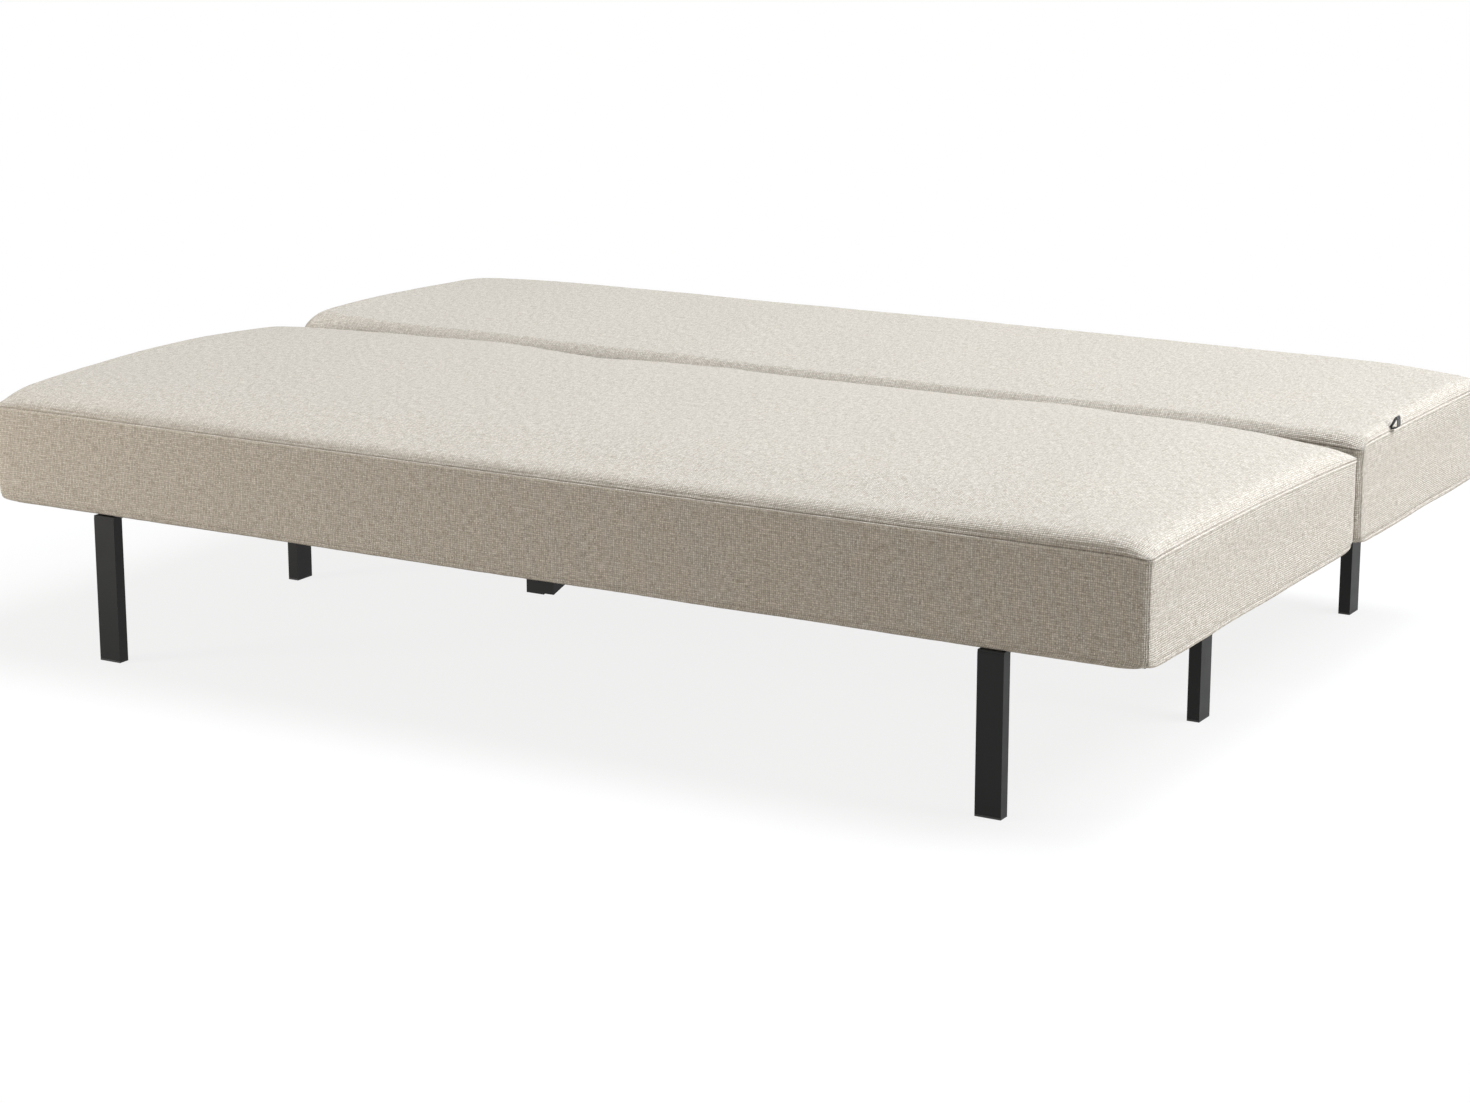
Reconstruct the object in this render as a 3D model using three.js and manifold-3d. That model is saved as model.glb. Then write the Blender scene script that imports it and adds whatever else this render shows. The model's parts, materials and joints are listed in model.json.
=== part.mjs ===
import * as THREE from 'three';
import { mergeVertices } from 'three/addons/utils/BufferGeometryUtils.js';
import Module from 'manifold-3d';

// Click clack sofa bed, shown flat as a bed. Millimetres, +Z up, +X along the width, +Y to the rear.
// The origin is on the floor under the middle of the bed.
const wasm = await Module();
wasm.setup();

// Driving dimensions: the bed as a whole
const bedWidth = 2000;
const bedDepth = 1400;
const undersideHeight = 237;
const coverSideHeight = 149.5;
const seatDepth = 791;
const seatSetback = 4;
const cushionGap = 14;
const touchGap = 0.3;
const cutOverrun = 1;
const weldOverlap = 0.5;

// Cushions
const coverThickness = 2.5;
const edgeRollRise = 21;
const edgeRollWidth = 45;
const seatDomeRise = 18;
const backDomeRise = 9;
const domeSpread = 260;
const seatEndLift = 13;
const backEndLift = 4;
const frontCornerRadius = 16;
const rearCornerRadius = 32;
const hemRadius = 12;
const hemCornerRadius = 4;
const seatHeelRadius = 45;

// Steel frames inside the two cushions
const frameTubeWidth = 20;
const frameTubeHeight = 40;
const tubeWall = 2;
const frameCornerInset = 8;
const centreBeamWidth = 50;
const backFrameSetback = 106;

// Sprung slats
const slatWidth = 70;
const slatThickness = 8;
const slatBow = 13;
const slatEndInsert = 12;
const slatStraightEnd = 16;
const slatEndDrop = 24;
const slatSlotPlay = 0.6;
const slatsPerHalf = 3;

// Legs, feet and rails
const frontLegWidth = 40;
const frontLegDepth = 20;
const frontLegSideInset = 206;
const legPlateThickness = 4;
const legPlateLength = 80;
const sideLegWidth = 20;
const sideLegDepth = 40;
const railSideInset = 149;
const midLegRearInset = 234;
const rearLegInset = 98;
const footHeight = 3;
const footPlugHeight = 12;
const railHeight = 40;
const railSetback = 140;
const railRearInset = 5;

// Pull-out rear support
const slideGap = 0.5;
const slideRailHeight = 25;
const slideRailReach = 195;
const crossTubeWidth = 20;
const guideLength = 150;
const guideThickness = 4;
const guideRearInset = 30;

// Click clack hinge: pivot, plates, toothed arm and pawl
const pivotSetback = 62;
const pivotLift = 114;
const sitAngle = 78;
const loungeAngle = 40;
const hingePlateThickness = 5;
const hingePlateGap = 1;
const hingeEyeRadius = 16;
const hingePinRadius = 6;
const hingePinPlay = 0.3;
const pinHeadRadius = 10;
const pinHeadThickness = 2;
const plateFlangeLength = 148;
const plateFlangeMargin = 2;
const plateNeckLength = 39;
const plateNeckGap = 4;
const plateNeckDrop = 22;
const sectorRadius = 44;
const sectorHubRadius = 18;
const sectorOverlapAngle = 11;
const toothDepth = 6.5;
const toothRootHalfWidth = 2.8;
const toothRimHalfWidth = 3.8;
const pawlAngle = -105;
const pawlReach = 40;
const pawlOffset = 8;
const pawlThrowAngle = 9;
const pawlTipPlay = 0.7;
const pawlTipClearance = 0.9;
const pawlShoulder = 3.5;
const pawlBossRadius = 9;
const pawlPinRadius = 4;
const pawlPinHeadRadius = 6.5;
const plateBossRadius = 11;
const armTailTop = 22;
const armTailClearance = 4;
const armFootOverhang = 3;
const armFootLength = 34;
const springWireRadius = 0.7;
const springCoilRadius = 5.6;
const springTurns = 3;
const springPitch = 1.7;
const springLegLength = 13;
const pocketSideClearance = 3;
const pocketHeadroom = 32;

// Bracket under the middle of the seat front
const bracketWidth = 48;
const bracketSetback = 72;
const bracketDepth = 40;
const bracketTailDepth = 5;
const bracketLength = 120;
const bracketWall = 3;
const bracketLapShare = 0.36;
const bracketLapStep = 1.8;

// Ribbon loop on the back cushion
const loopSetback = 122;
const loopEdgeInset = 10;
const loopLean = 70;
const loopWidth = 15;
const loopHeight = 19;
const loopBulge = 13;
const ribbonThickness = 1;

// Roundness of drawn curves, counted in segments
const cornerSegments = 5;
const circleSegments = 24;
const pinSegments = 20;
const bowSegments = 10;
const rollSegments = 4;
const domeSegments = 3;
const heelSegments = 4;
const longEdgeSegments = 6;
const shortEdgeSegments = 5;
const wireSides = 6;
const coilSegmentsPerTurn = 12;
const loopSegments = 20;

// Places worked out from the dimensions above
const bedFront = -bedDepth / 2;
const seamHeight = undersideHeight + coverSideHeight;
const seatFront = bedFront + seatSetback;
const seatRear = seatFront + seatDepth;
const backFront = seatRear + cushionGap;
const backRear = bedDepth / 2;
const frameBottom = undersideHeight + touchGap;
const frameTop = frameBottom + frameTubeHeight;
const coverInside = coverThickness + touchGap;
const frameOuterX = bedWidth / 2 - coverInside;
const railTop = undersideHeight;
const railBottom = railTop - railHeight;
const railOuterX = bedWidth / 2 - railSideInset;
const railInnerX = railOuterX - sideLegWidth;
const slideOuterX = railInnerX - slideGap;
const slideInnerX = slideOuterX - sideLegWidth;
const pivotY = backFront + pivotSetback;
const pivotZ = undersideHeight + pivotLift;
const plateInnerX = railOuterX + touchGap;
const plateOuterX = plateInnerX + hingePlateThickness;
const armInnerX = plateOuterX + hingePlateGap;
const armOuterX = armInnerX + hingePlateThickness;
const springStartX = armOuterX + springWireRadius + touchGap;
const springLength = springTurns * springPitch;
const pinInnerX = plateInnerX - pinHeadThickness - touchGap;
const pawlPinOuterX = springStartX + springLength + springWireRadius + pinHeadThickness;
const pocketInnerX = pinInnerX - pocketSideClearance;
const pocketOuterX = pawlPinOuterX + pocketSideClearance;
const backFrameFront = backFront + backFrameSetback;

const fabric = { color: 0xd9d2c4, roughness: 0.95, metalness: 0 };
const foam = { color: 0xefe6c8, roughness: 1, metalness: 0 };
const blackSteel = { color: 0x232423, roughness: 0.5, metalness: 0.4 };
const zincSteel = { color: 0xb9bcbc, roughness: 0.35, metalness: 0.9 };
const beech = { color: 0xd8b483, roughness: 0.6, metalness: 0 };
const blackPlastic = { color: 0x171717, roughness: 0.6, metalness: 0 };
const ribbon = { color: 0x1b1b1b, roughness: 0.8, metalness: 0 };

const sofa = new THREE.Group();
const seat = new THREE.Group();
const back = new THREE.Group();
const base = new THREE.Group();
const rearSupport = new THREE.Group();
const hinges = new THREE.Group();
sofa.add(seat, back, base, rearSupport, hinges);

const radians = THREE.MathUtils.degToRad;
const vector = (x, y) => new THREE.Vector2(x, y);

function addPart(group, name, geometry, finish) {
  const mesh = new THREE.Mesh(geometry, new THREE.MeshStandardMaterial(finish));
  mesh.name = name;
  group.add(mesh);
  return mesh;
}

// Boolean work on closed meshes
function toSolid(geometry) {
  const bare = geometry.clone();
  bare.deleteAttribute('normal');
  bare.deleteAttribute('uv');
  const merged = mergeVertices(bare);
  return new wasm.Manifold(new wasm.Mesh({
    numProp: 3,
    vertProperties: new Float32Array(merged.attributes.position.array),
    triVerts: new Uint32Array(merged.index.array),
  }));
}

function toGeometry(solid) {
  const mesh = solid.getMesh();
  const geometry = new THREE.BufferGeometry();
  geometry.setAttribute('position', new THREE.BufferAttribute(new Float32Array(mesh.vertProperties), 3));
  geometry.setIndex(new THREE.BufferAttribute(new Uint32Array(mesh.triVerts), 1));
  geometry.computeVertexNormals();
  return geometry;
}

function cut(body, ...tools) {
  return toGeometry(tools.reduce((solid, tool) => solid.subtract(toSolid(tool)), toSolid(body)));
}

function join(body, ...others) {
  return toGeometry(others.reduce((solid, other) => solid.add(toSolid(other)), toSolid(body)));
}

// A block between two opposite corners
function block(low, high) {
  const size = high.map((value, axis) => value - low[axis]);
  const geometry = new THREE.BoxGeometry(...size);
  return geometry.translate(...low.map((value, axis) => value + size[axis] / 2));
}

// A shape drawn in the YZ plane, extruded along X from one place to another
function slabAlongX(shape, fromX, toX) {
  const options = { depth: toX - fromX, bevelEnabled: false, curveSegments: circleSegments };
  const geometry = new THREE.ExtrudeGeometry(shape, options);
  const turn = new THREE.Matrix4().makeBasis(
    new THREE.Vector3(0, 1, 0), new THREE.Vector3(0, 0, 1), new THREE.Vector3(1, 0, 0));
  return geometry.applyMatrix4(turn).translate(fromX, 0, 0);
}

// The same slab on the right side (1) or, mirrored, on the left side (-1)
function sideSlab(side, shape, innerX, outerX) {
  return side > 0 ? slabAlongX(shape, innerX, outerX) : slabAlongX(shape, -outerX, -innerX);
}

function sideBlock(side, innerX, outerX, [y0, z0], [y1, z1]) {
  const [x0, x1] = side > 0 ? [innerX, outerX] : [-outerX, -innerX];
  return block([x0, y0, z0], [x1, y1, z1]);
}

// Hollow rectangular tube filling the block between two corners, open at both ends of one axis
function rectTube(low, high, axis) {
  const coreLow = low.map((value, k) => (k === axis ? value - cutOverrun : value + tubeWall));
  const coreHigh = high.map((value, k) => (k === axis ? value + cutOverrun : value - tubeWall));
  return cut(block(low, high), block(coreLow, coreHigh));
}

function polygon(points) {
  return new THREE.Shape(points.map(([y, z]) => vector(y, z)));
}

function circlePoints(centre, radius, count) {
  return Array.from({ length: count }, (_, k) => {
    const angle = (2 * Math.PI * k) / count;
    return [centre[0] + radius * Math.cos(angle), centre[1] + radius * Math.sin(angle)];
  });
}

// Outline of the tightest band round a set of points, anticlockwise
function hull(points) {
  const sorted = [...points].sort((a, b) => a[0] - b[0] || a[1] - b[1]);
  const turnOf = (o, a, b) => (a[0] - o[0]) * (b[1] - o[1]) - (a[1] - o[1]) * (b[0] - o[0]);
  const half = (list) => {
    const chain = [];
    for (const point of list) {
      while (chain.length > 1 && turnOf(chain.at(-2), chain.at(-1), point) <= 0) chain.pop();
      chain.push(point);
    }
    return chain.slice(0, -1);
  };
  return [...half(sorted), ...half(sorted.reverse())];
}

function pinAlongX(side, centre, radius, innerX, outerX) {
  return sideSlab(side, polygon(circlePoints(centre, radius, pinSegments)), innerX, outerX);
}

// Soft forms. One ring is a rounded rectangle with its edges divided, and a form is a stack of rings.
function ringPoints(x0, x1, y0, y1, frontRadius, rearRadius) {
  const corners = [
    [x1 - frontRadius, y0 + frontRadius, frontRadius, -1],
    [x1 - rearRadius, y1 - rearRadius, rearRadius, 0],
    [x0 + rearRadius, y1 - rearRadius, rearRadius, 1],
    [x0 + frontRadius, y0 + frontRadius, frontRadius, 2],
  ];
  const arcs = corners.map(([cx, cy, radius, quarter]) =>
    Array.from({ length: cornerSegments + 1 }, (_, k) => {
      const angle = (Math.PI / 2) * (quarter + k / cornerSegments);
      return [cx + radius * Math.cos(angle), cy + radius * Math.sin(angle)];
    }));
  return arcs.flatMap((arc, k) => {
    const from = arc.at(-1);
    const to = arcs[(k + 1) % arcs.length][0];
    const pieces = k % 2 ? longEdgeSegments : shortEdgeSegments;
    const between = Array.from({ length: pieces - 1 }, (_, j) => {
      const share = (j + 1) / pieces;
      return [from[0] + (to[0] - from[0]) * share, from[1] + (to[1] - from[1]) * share];
    });
    return [...arc, ...between];
  });
}

function stackRings(rings) {
  const count = rings[0].length;
  const positions = rings.flat(2);
  const index = [];
  for (let level = 0; level + 1 < rings.length; level += 1) {
    for (let k = 0; k < count; k += 1) {
      const a = level * count + k;
      const b = level * count + ((k + 1) % count);
      index.push(a, b, b + count, a, b + count, a + count);
    }
  }
  for (const [level, flip] of [[0, true], [rings.length - 1, false]]) {
    const ring = rings[level];
    const centre = positions.length / 3;
    for (let axis = 0; axis < 3; axis += 1) {
      positions.push(ring.reduce((sum, point) => sum + point[axis], 0) / count);
    }
    for (let k = 0; k < count; k += 1) {
      const a = level * count + k;
      const b = level * count + ((k + 1) % count);
      index.push(...(flip ? [centre, b, a] : [centre, a, b]));
    }
  }
  const geometry = new THREE.BufferGeometry();
  geometry.setAttribute('position', new THREE.Float32BufferAttribute(positions, 3));
  geometry.setIndex(index);
  geometry.computeVertexNormals();
  return geometry;
}

// Height of the crown above the seam: a rolled edge, a dome, and a lift of the seam at mid end
function crownAt(endInset, edgeInset, depth, { domeRise, endLift }) {
  const roll = (inset) => Math.sqrt(1 - (1 - Math.min(inset / edgeRollWidth, 1)) ** 2);
  const dome = (inset) => Math.sin((Math.PI / 2) * Math.min(inset / domeSpread, 1));
  const fade = 1 - Math.min(endInset / domeSpread, 1);
  return edgeRollRise * roll(endInset) * roll(edgeInset)
    + domeRise * dome(endInset) * dome(edgeInset)
    + endLift * fade ** 2 * Math.sin(Math.PI * (edgeInset / depth));
}

// How far a rounded bottom edge stands back at a height above the underside
function heelInset(radius, height) {
  return height >= radius ? 0 : radius - Math.sqrt(radius ** 2 - (radius - height) ** 2);
}

// A cushion: straight sides, rounded bottom edges and a crowned top, shrunk all round by a margin
function cushionForm({ front, rear, frontHeel, rearHeel, crown, margin, drop = 0 }) {
  const x1 = bedWidth / 2 - margin;
  const y0 = front + margin;
  const y1 = rear - margin;
  const rearR = rearCornerRadius - margin;
  const frontR = frontCornerRadius - margin;
  const tight = (radius, inset) => Math.max(radius - inset, hemCornerRadius);
  const heelRing = (z, dFront, dRear) =>
    ringPoints(-x1, x1, y0 + dFront, y1 - dRear, tight(frontR, dFront), tight(rearR, dRear))
      .map(([x, y]) => [x, y, z]);
  const topRing = (inset, depthInset) =>
    ringPoints(-x1 + inset, x1 - inset, y0 + depthInset, y1 - depthInset, frontR, rearR)
      .map(([x, y]) => {
        const rise = crownAt(x1 - Math.abs(x), Math.min(y - y0, y1 - y), y1 - y0, crown);
        return [x, y, seamHeight - margin + rise];
      });
  const heel = Math.max(frontHeel, rearHeel);
  const rings = [];
  if (drop > 0) rings.push(heelRing(undersideHeight - drop, frontHeel, rearHeel));
  for (let k = 0; k <= heelSegments; k += 1) {
    const height = heel * (1 - Math.cos((Math.PI / 2) * (k / heelSegments)));
    rings.push(heelRing(
      undersideHeight + height, heelInset(frontHeel, height), heelInset(rearHeel, height)));
  }
  for (let k = 0; k <= rollSegments; k += 1) {
    const inset = edgeRollWidth * (1 - Math.cos((Math.PI / 2) * (k / rollSegments)));
    rings.push(topRing(inset, inset));
  }
  const depthRoom = Math.min((y1 - y0) / 2 - rearR - edgeRollWidth, domeSpread - edgeRollWidth);
  for (let k = 1; k <= domeSegments; k += 1) {
    const share = k / domeSegments;
    rings.push(topRing(
      edgeRollWidth + (domeSpread - edgeRollWidth) * share, edgeRollWidth + depthRoom * share));
  }
  return stackRings(rings);
}

const seatForm = {
  front: seatFront, rear: seatRear, frontHeel: hemRadius, rearHeel: seatHeelRadius,
  crown: { domeRise: seatDomeRise, endLift: seatEndLift },
};
const backForm = {
  front: backFront, rear: backRear, frontHeel: hemRadius, rearHeel: hemRadius,
  crown: { domeRise: backDomeRise, endLift: backEndLift },
};

function coverOf(form) {
  const inner = cushionForm({ ...form, margin: coverThickness, drop: cutOverrun });
  return cut(cushionForm({ ...form, margin: 0 }), inner);
}

// Foam fills the cover and is recessed underneath for its frame
function foamOf(form, recessFront, recessRear) {
  const body = cushionForm({ ...form, margin: coverInside });
  const reach = bedWidth / 2;
  const recess = block(
    [-reach, recessFront - touchGap, undersideHeight - cutOverrun],
    [reach, recessRear + touchGap, frameTop + touchGap]);
  return cut(body, recess);
}

// Pockets in the back cushion for the hinges
function hingePocket(side, rear, top) {
  return sideBlock(side, pocketInnerX, pocketOuterX,
    [backFront - cutOverrun, undersideHeight - cutOverrun], [rear, top]);
}

const pocketTop = pivotZ + pocketHeadroom;
const armFootRear = backFrameFront + armFootLength;
const pockets = [-1, 1].map((side) => hingePocket(side, armFootRear + armTailClearance, pocketTop));
const coverSlits = [-1, 1].map((side) => hingePocket(side, backFrameFront - touchGap, pocketTop));

// Frames of tubes with slots for the slats
const slatBottomAtEnd = frameTop - slatEndDrop;

function slatCentres(from, to, count) {
  return Array.from({ length: count }, (_, k) => from + ((to - from) * (k + 0.5)) / count);
}

const slatReach = [centreBeamWidth / 2, railInnerX];
const rightSlats = slatCentres(...slatReach, slatsPerHalf);
const slatPlaces = [...rightSlats.map((x) => -x).reverse(), ...rightSlats];

function slottedCrossTube(front, wallIsRear) {
  const halfLength = frameOuterX - frameCornerInset;
  const tube = rectTube(
    [-halfLength, front, frameBottom],
    [halfLength, front + frameTubeWidth, frameTop], 0);
  const wallY = wallIsRear ? front + frameTubeWidth - tubeWall : front;
  const slots = slatPlaces.map((x) => block(
    [x - slatWidth / 2 - slatSlotPlay, wallY - cutOverrun, slatBottomAtEnd - slatSlotPlay],
    [x + slatWidth / 2 + slatSlotPlay, wallY + tubeWall + cutOverrun,
      slatBottomAtEnd + slatThickness + 2 * slatSlotPlay]));
  return cut(tube, ...slots);
}

// A slat with straight ends in the tubes and an upward bow between them
function slat(x, front, rear) {
  const arcFront = front + slatStraightEnd;
  const arcRear = rear - slatStraightEnd;
  const arc = Array.from({ length: bowSegments + 1 }, (_, k) => {
    const share = k / bowSegments;
    return [arcFront + (arcRear - arcFront) * share, slatBottomAtEnd + slatBow * (1 - (2 * share - 1) ** 2)];
  });
  const line = [[front, slatBottomAtEnd], ...arc, [rear, slatBottomAtEnd]];
  const upper = line.map(([y, z]) => [y, z + slatThickness]).reverse();
  return slabAlongX(polygon([...line, ...upper]), x - slatWidth / 2, x + slatWidth / 2);
}

function addFrame(group, prefix, front, rear) {
  const sideTube = (side) => {
    const [x0, x1] = side > 0
      ? [frameOuterX - frameTubeWidth, frameOuterX] : [-frameOuterX, -frameOuterX + frameTubeWidth];
    return rectTube([x0, front + frameTubeWidth + touchGap, frameBottom],
      [x1, rear - frameTubeWidth - touchGap, frameTop], 1);
  };
  addPart(group, `${prefix}_frame_front`, slottedCrossTube(front, true), blackSteel);
  addPart(group, `${prefix}_frame_rear`, slottedCrossTube(rear - frameTubeWidth, false), blackSteel);
  addPart(group, `${prefix}_frame_left`, sideTube(-1), blackSteel);
  addPart(group, `${prefix}_frame_right`, sideTube(1), blackSteel);
  const slatFront = front + frameTubeWidth - slatEndInsert;
  const slatRear = rear - frameTubeWidth + slatEndInsert;
  slatPlaces.forEach((x, k) => {
    addPart(group, `${prefix}_slat_${k + 1}`, slat(x, slatFront, slatRear), beech);
  });
}

// Seat
const seatFrameFront = seatFront + hemRadius + hemCornerRadius + coverInside;
const seatFrameRear = seatRear - seatHeelRadius - hemCornerRadius - coverInside;
addPart(seat, 'seat_cover', coverOf(seatForm), fabric);
addPart(seat, 'seat_foam', foamOf(seatForm, seatFrameFront, seatFrameRear), foam);
addFrame(seat, 'seat', seatFrameFront, seatFrameRear);

function longTube(x0, x1) {
  return rectTube(
    [x0, seatFrameFront + frameTubeWidth + touchGap, frameBottom],
    [x1, seatFrameRear - frameTubeWidth - touchGap, frameTop], 1);
}
addPart(seat, 'seat_frame_centre', longTube(-centreBeamWidth / 2, centreBeamWidth / 2), blackSteel);
addPart(seat, 'seat_frame_inner_left', longTube(-railOuterX, -railInnerX), blackSteel);
addPart(seat, 'seat_frame_inner_right', longTube(railInnerX, railOuterX), blackSteel);

// Folded bracket under the seat front: an open-topped wedge, lapped a little lower on its left
function bracketOutline(inset, rise) {
  const front = bedFront + bracketSetback;
  const slope = (bracketDepth - bracketTailDepth) / bracketLength;
  const top = railTop + (inset > 0 ? cutOverrun : -touchGap);
  const bottomAt = (y) => railTop - bracketDepth + inset + rise + slope * (y - front);
  const y0 = front + inset;
  const y1 = front + bracketLength - inset;
  return polygon([[y0, top], [y0, bottomAt(y0)], [y1, bottomAt(y1)], [y1, top]]);
}

function centreBracket() {
  const half = bracketWidth / 2;
  const lapX = half - bracketWidth * bracketLapShare;
  const left = slabAlongX(bracketOutline(0, 0), -half, lapX);
  const right = slabAlongX(bracketOutline(0, bracketLapStep), lapX - weldOverlap, half);
  const hollow = slabAlongX(bracketOutline(bracketWall, bracketLapStep), -half + bracketWall, half - bracketWall);
  return cut(join(left, right), hollow);
}
addPart(seat, 'centre_bracket', centreBracket(), blackSteel);

// Legs and feet
function footAt(x0, x1, y0, y1) {
  const inset = tubeWall + touchGap;
  const sole = block([x0, y0, 0], [x1, y1, footHeight]);
  const plug = block([x0 + inset, y0 + inset, footHeight - weldOverlap],
    [x1 - inset, y1 - inset, footHeight + footPlugHeight]);
  return join(sole, plug);
}

function addLeg(group, name, x0, x1, y0, y1, top, plate) {
  const bottom = footHeight + touchGap;
  const tube = rectTube([x0, y0, bottom], [x1, y1, top], 2);
  const leg = plate ? join(tube, plate) : tube;
  addPart(group, `leg_${name}`, leg, blackSteel);
  addPart(group, `foot_${name}`, footAt(x0, x1, y0, y1), blackPlastic);
}

function mirrored(side, innerX, outerX) {
  return side > 0 ? [innerX, outerX] : [-outerX, -innerX];
}

for (const [side, hand] of [[-1, 'left'], [1, 'right']]) {
  const outerX = bedWidth / 2 - frontLegSideInset;
  const [x0, x1] = mirrored(side, outerX - frontLegWidth, outerX);
  const plateTop = railTop - touchGap;
  const plateBottom = plateTop - legPlateThickness;
  const plate = block([x0, bedFront + weldOverlap, plateBottom], [x1, bedFront + legPlateLength, plateTop]);
  addLeg(base, `front_${hand}`, x0, x1, bedFront, bedFront + frontLegDepth,
    plateBottom + weldOverlap, plate);

  const [m0, m1] = mirrored(side, railInnerX, railOuterX);
  const midY = seatRear - midLegRearInset;
  addLeg(base, `mid_${hand}`, m0, m1, midY, midY + sideLegDepth, railBottom - touchGap);
  addPart(base, `side_rail_${hand}`, rectTube([m0, bedFront + railSetback, railBottom],
    [m1, seatRear - railRearInset, railTop], 1), blackSteel);
}

// Pull-out support: two legs, a cross tube and two rails that run in guides beside the fixed rails
const slideBottom = railBottom;
const slideTop = slideBottom + slideRailHeight;
const rearLegRear = backRear - rearLegInset;
const rearLegFront = rearLegRear - sideLegDepth;
const guideRear = seatRear - guideRearInset;

function guideProfile() {
  const wallX = slideInnerX - touchGap;
  const low = slideBottom - touchGap;
  const high = slideTop + touchGap;
  const lipX = slideOuterX;
  return [
    [wallX - guideThickness, low - guideThickness], [railOuterX, low - guideThickness],
    [railOuterX, low], [wallX, low], [wallX, high], [lipX, high],
    [lipX, high + guideThickness], [wallX - guideThickness, high + guideThickness],
  ];
}

function guideAt(side) {
  const shape = new THREE.Shape(guideProfile().map(([x, z]) => vector(side * x, z)));
  const geometry = new THREE.ExtrudeGeometry(shape, { depth: guideLength, bevelEnabled: false });
  return geometry.rotateX(Math.PI / 2).translate(0, guideRear, 0);
}

for (const [side, hand] of [[-1, 'left'], [1, 'right']]) {
  const [x0, x1] = mirrored(side, slideInnerX, slideOuterX);
  addLeg(rearSupport, `rear_${hand}`, x0, x1, rearLegFront, rearLegRear, railTop - touchGap);
  addPart(rearSupport, `slide_rail_${hand}`, rectTube([x0, seatRear - slideRailReach, slideBottom],
    [x1, rearLegFront - touchGap, slideTop], 1), blackSteel);
  addPart(base, `slide_guide_${hand}`, guideAt(side), blackSteel);
}
const crossMiddle = (rearLegFront + rearLegRear) / 2;
addPart(rearSupport, 'rear_cross_tube', rectTube(
  [-slideInnerX + touchGap, crossMiddle - crossTubeWidth / 2, railBottom],
  [slideInnerX - touchGap, crossMiddle + crossTubeWidth / 2, railTop - touchGap], 0), blackSteel);

// Back
const backFrameRear = backRear - hemRadius - hemCornerRadius - coverInside;
const backFoam = foamOf(backForm, backFrameFront, backFrameRear);
addPart(back, 'back_cover', cut(coverOf(backForm), ...coverSlits), fabric);
addPart(back, 'back_foam', cut(backFoam, ...pockets), foam);
addFrame(back, 'back', backFrameFront, backFrameRear);

// Click clack hinge, drawn about the pivot in the YZ plane
const pivot = [pivotY, pivotZ];

function polar(centre, radius, degrees) {
  const angle = radians(degrees);
  return [centre[0] + radius * Math.cos(angle), centre[1] + radius * Math.sin(angle)];
}

function turned(point, centre, degrees) {
  const angle = radians(degrees);
  const [dy, dz] = [point[0] - centre[0], point[1] - centre[1]];
  return [
    centre[0] + dy * Math.cos(angle) - dz * Math.sin(angle),
    centre[1] + dy * Math.sin(angle) + dz * Math.cos(angle),
  ];
}

const pawlContact = polar(pivot, sectorRadius, pawlAngle);
const pawlPivot = polar(polar(pawlContact, pawlReach, pawlAngle + 90), pawlOffset, pawlAngle);

function hole(shape, centre, radius) {
  const rim = circlePoints(centre, radius, pinSegments);
  shape.holes.push(new THREE.Path(rim.map(([y, z]) => vector(y, z))));
  return shape;
}

// Plate on the fixed rail: a flange along the rail and a neck up to the pivot
function hingePlate(side) {
  const flangeRear = backFront + plateNeckLength - cushionGap;
  const flange = sideBlock(side, plateInnerX, plateOuterX,
    [flangeRear - plateFlangeLength, railBottom + plateFlangeMargin],
    [flangeRear, railTop - plateFlangeMargin]);
  const neckFront = seatRear + plateNeckGap;
  const neckFoot = railTop - plateNeckDrop;
  const neck = hull([
    [neckFront, neckFoot], [neckFront, railTop], [flangeRear, neckFoot],
    ...circlePoints(pivot, hingeEyeRadius, circleSegments),
    ...circlePoints(pawlPivot, plateBossRadius, circleSegments),
  ]);
  const drilled = hole(hole(polygon(neck), pivot, hingePinRadius + hingePinPlay),
    pawlPivot, pawlPinRadius + hingePinPlay);
  return join(sideSlab(side, drilled, plateInnerX, plateOuterX), flange);
}

// Arm on the back frame: a hub, a toothed sector and a tail that stands on the frame's front tube
function toothCut(side, degrees) {
  const root = sectorRadius - toothDepth;
  const rim = sectorRadius + cutOverrun;
  const corner = (radius, half, sign) => {
    const [y, z] = polar(pivot, radius, degrees);
    const across = radians(degrees + 90);
    return [y + sign * half * Math.cos(across), z + sign * half * Math.sin(across)];
  };
  const points = [corner(root, toothRootHalfWidth, -1), corner(rim, toothRimHalfWidth, -1),
    corner(rim, toothRimHalfWidth, 1), corner(root, toothRootHalfWidth, 1)];
  return sideSlab(side, polygon(points), armInnerX - cutOverrun, armOuterX + cutOverrun);
}

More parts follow.
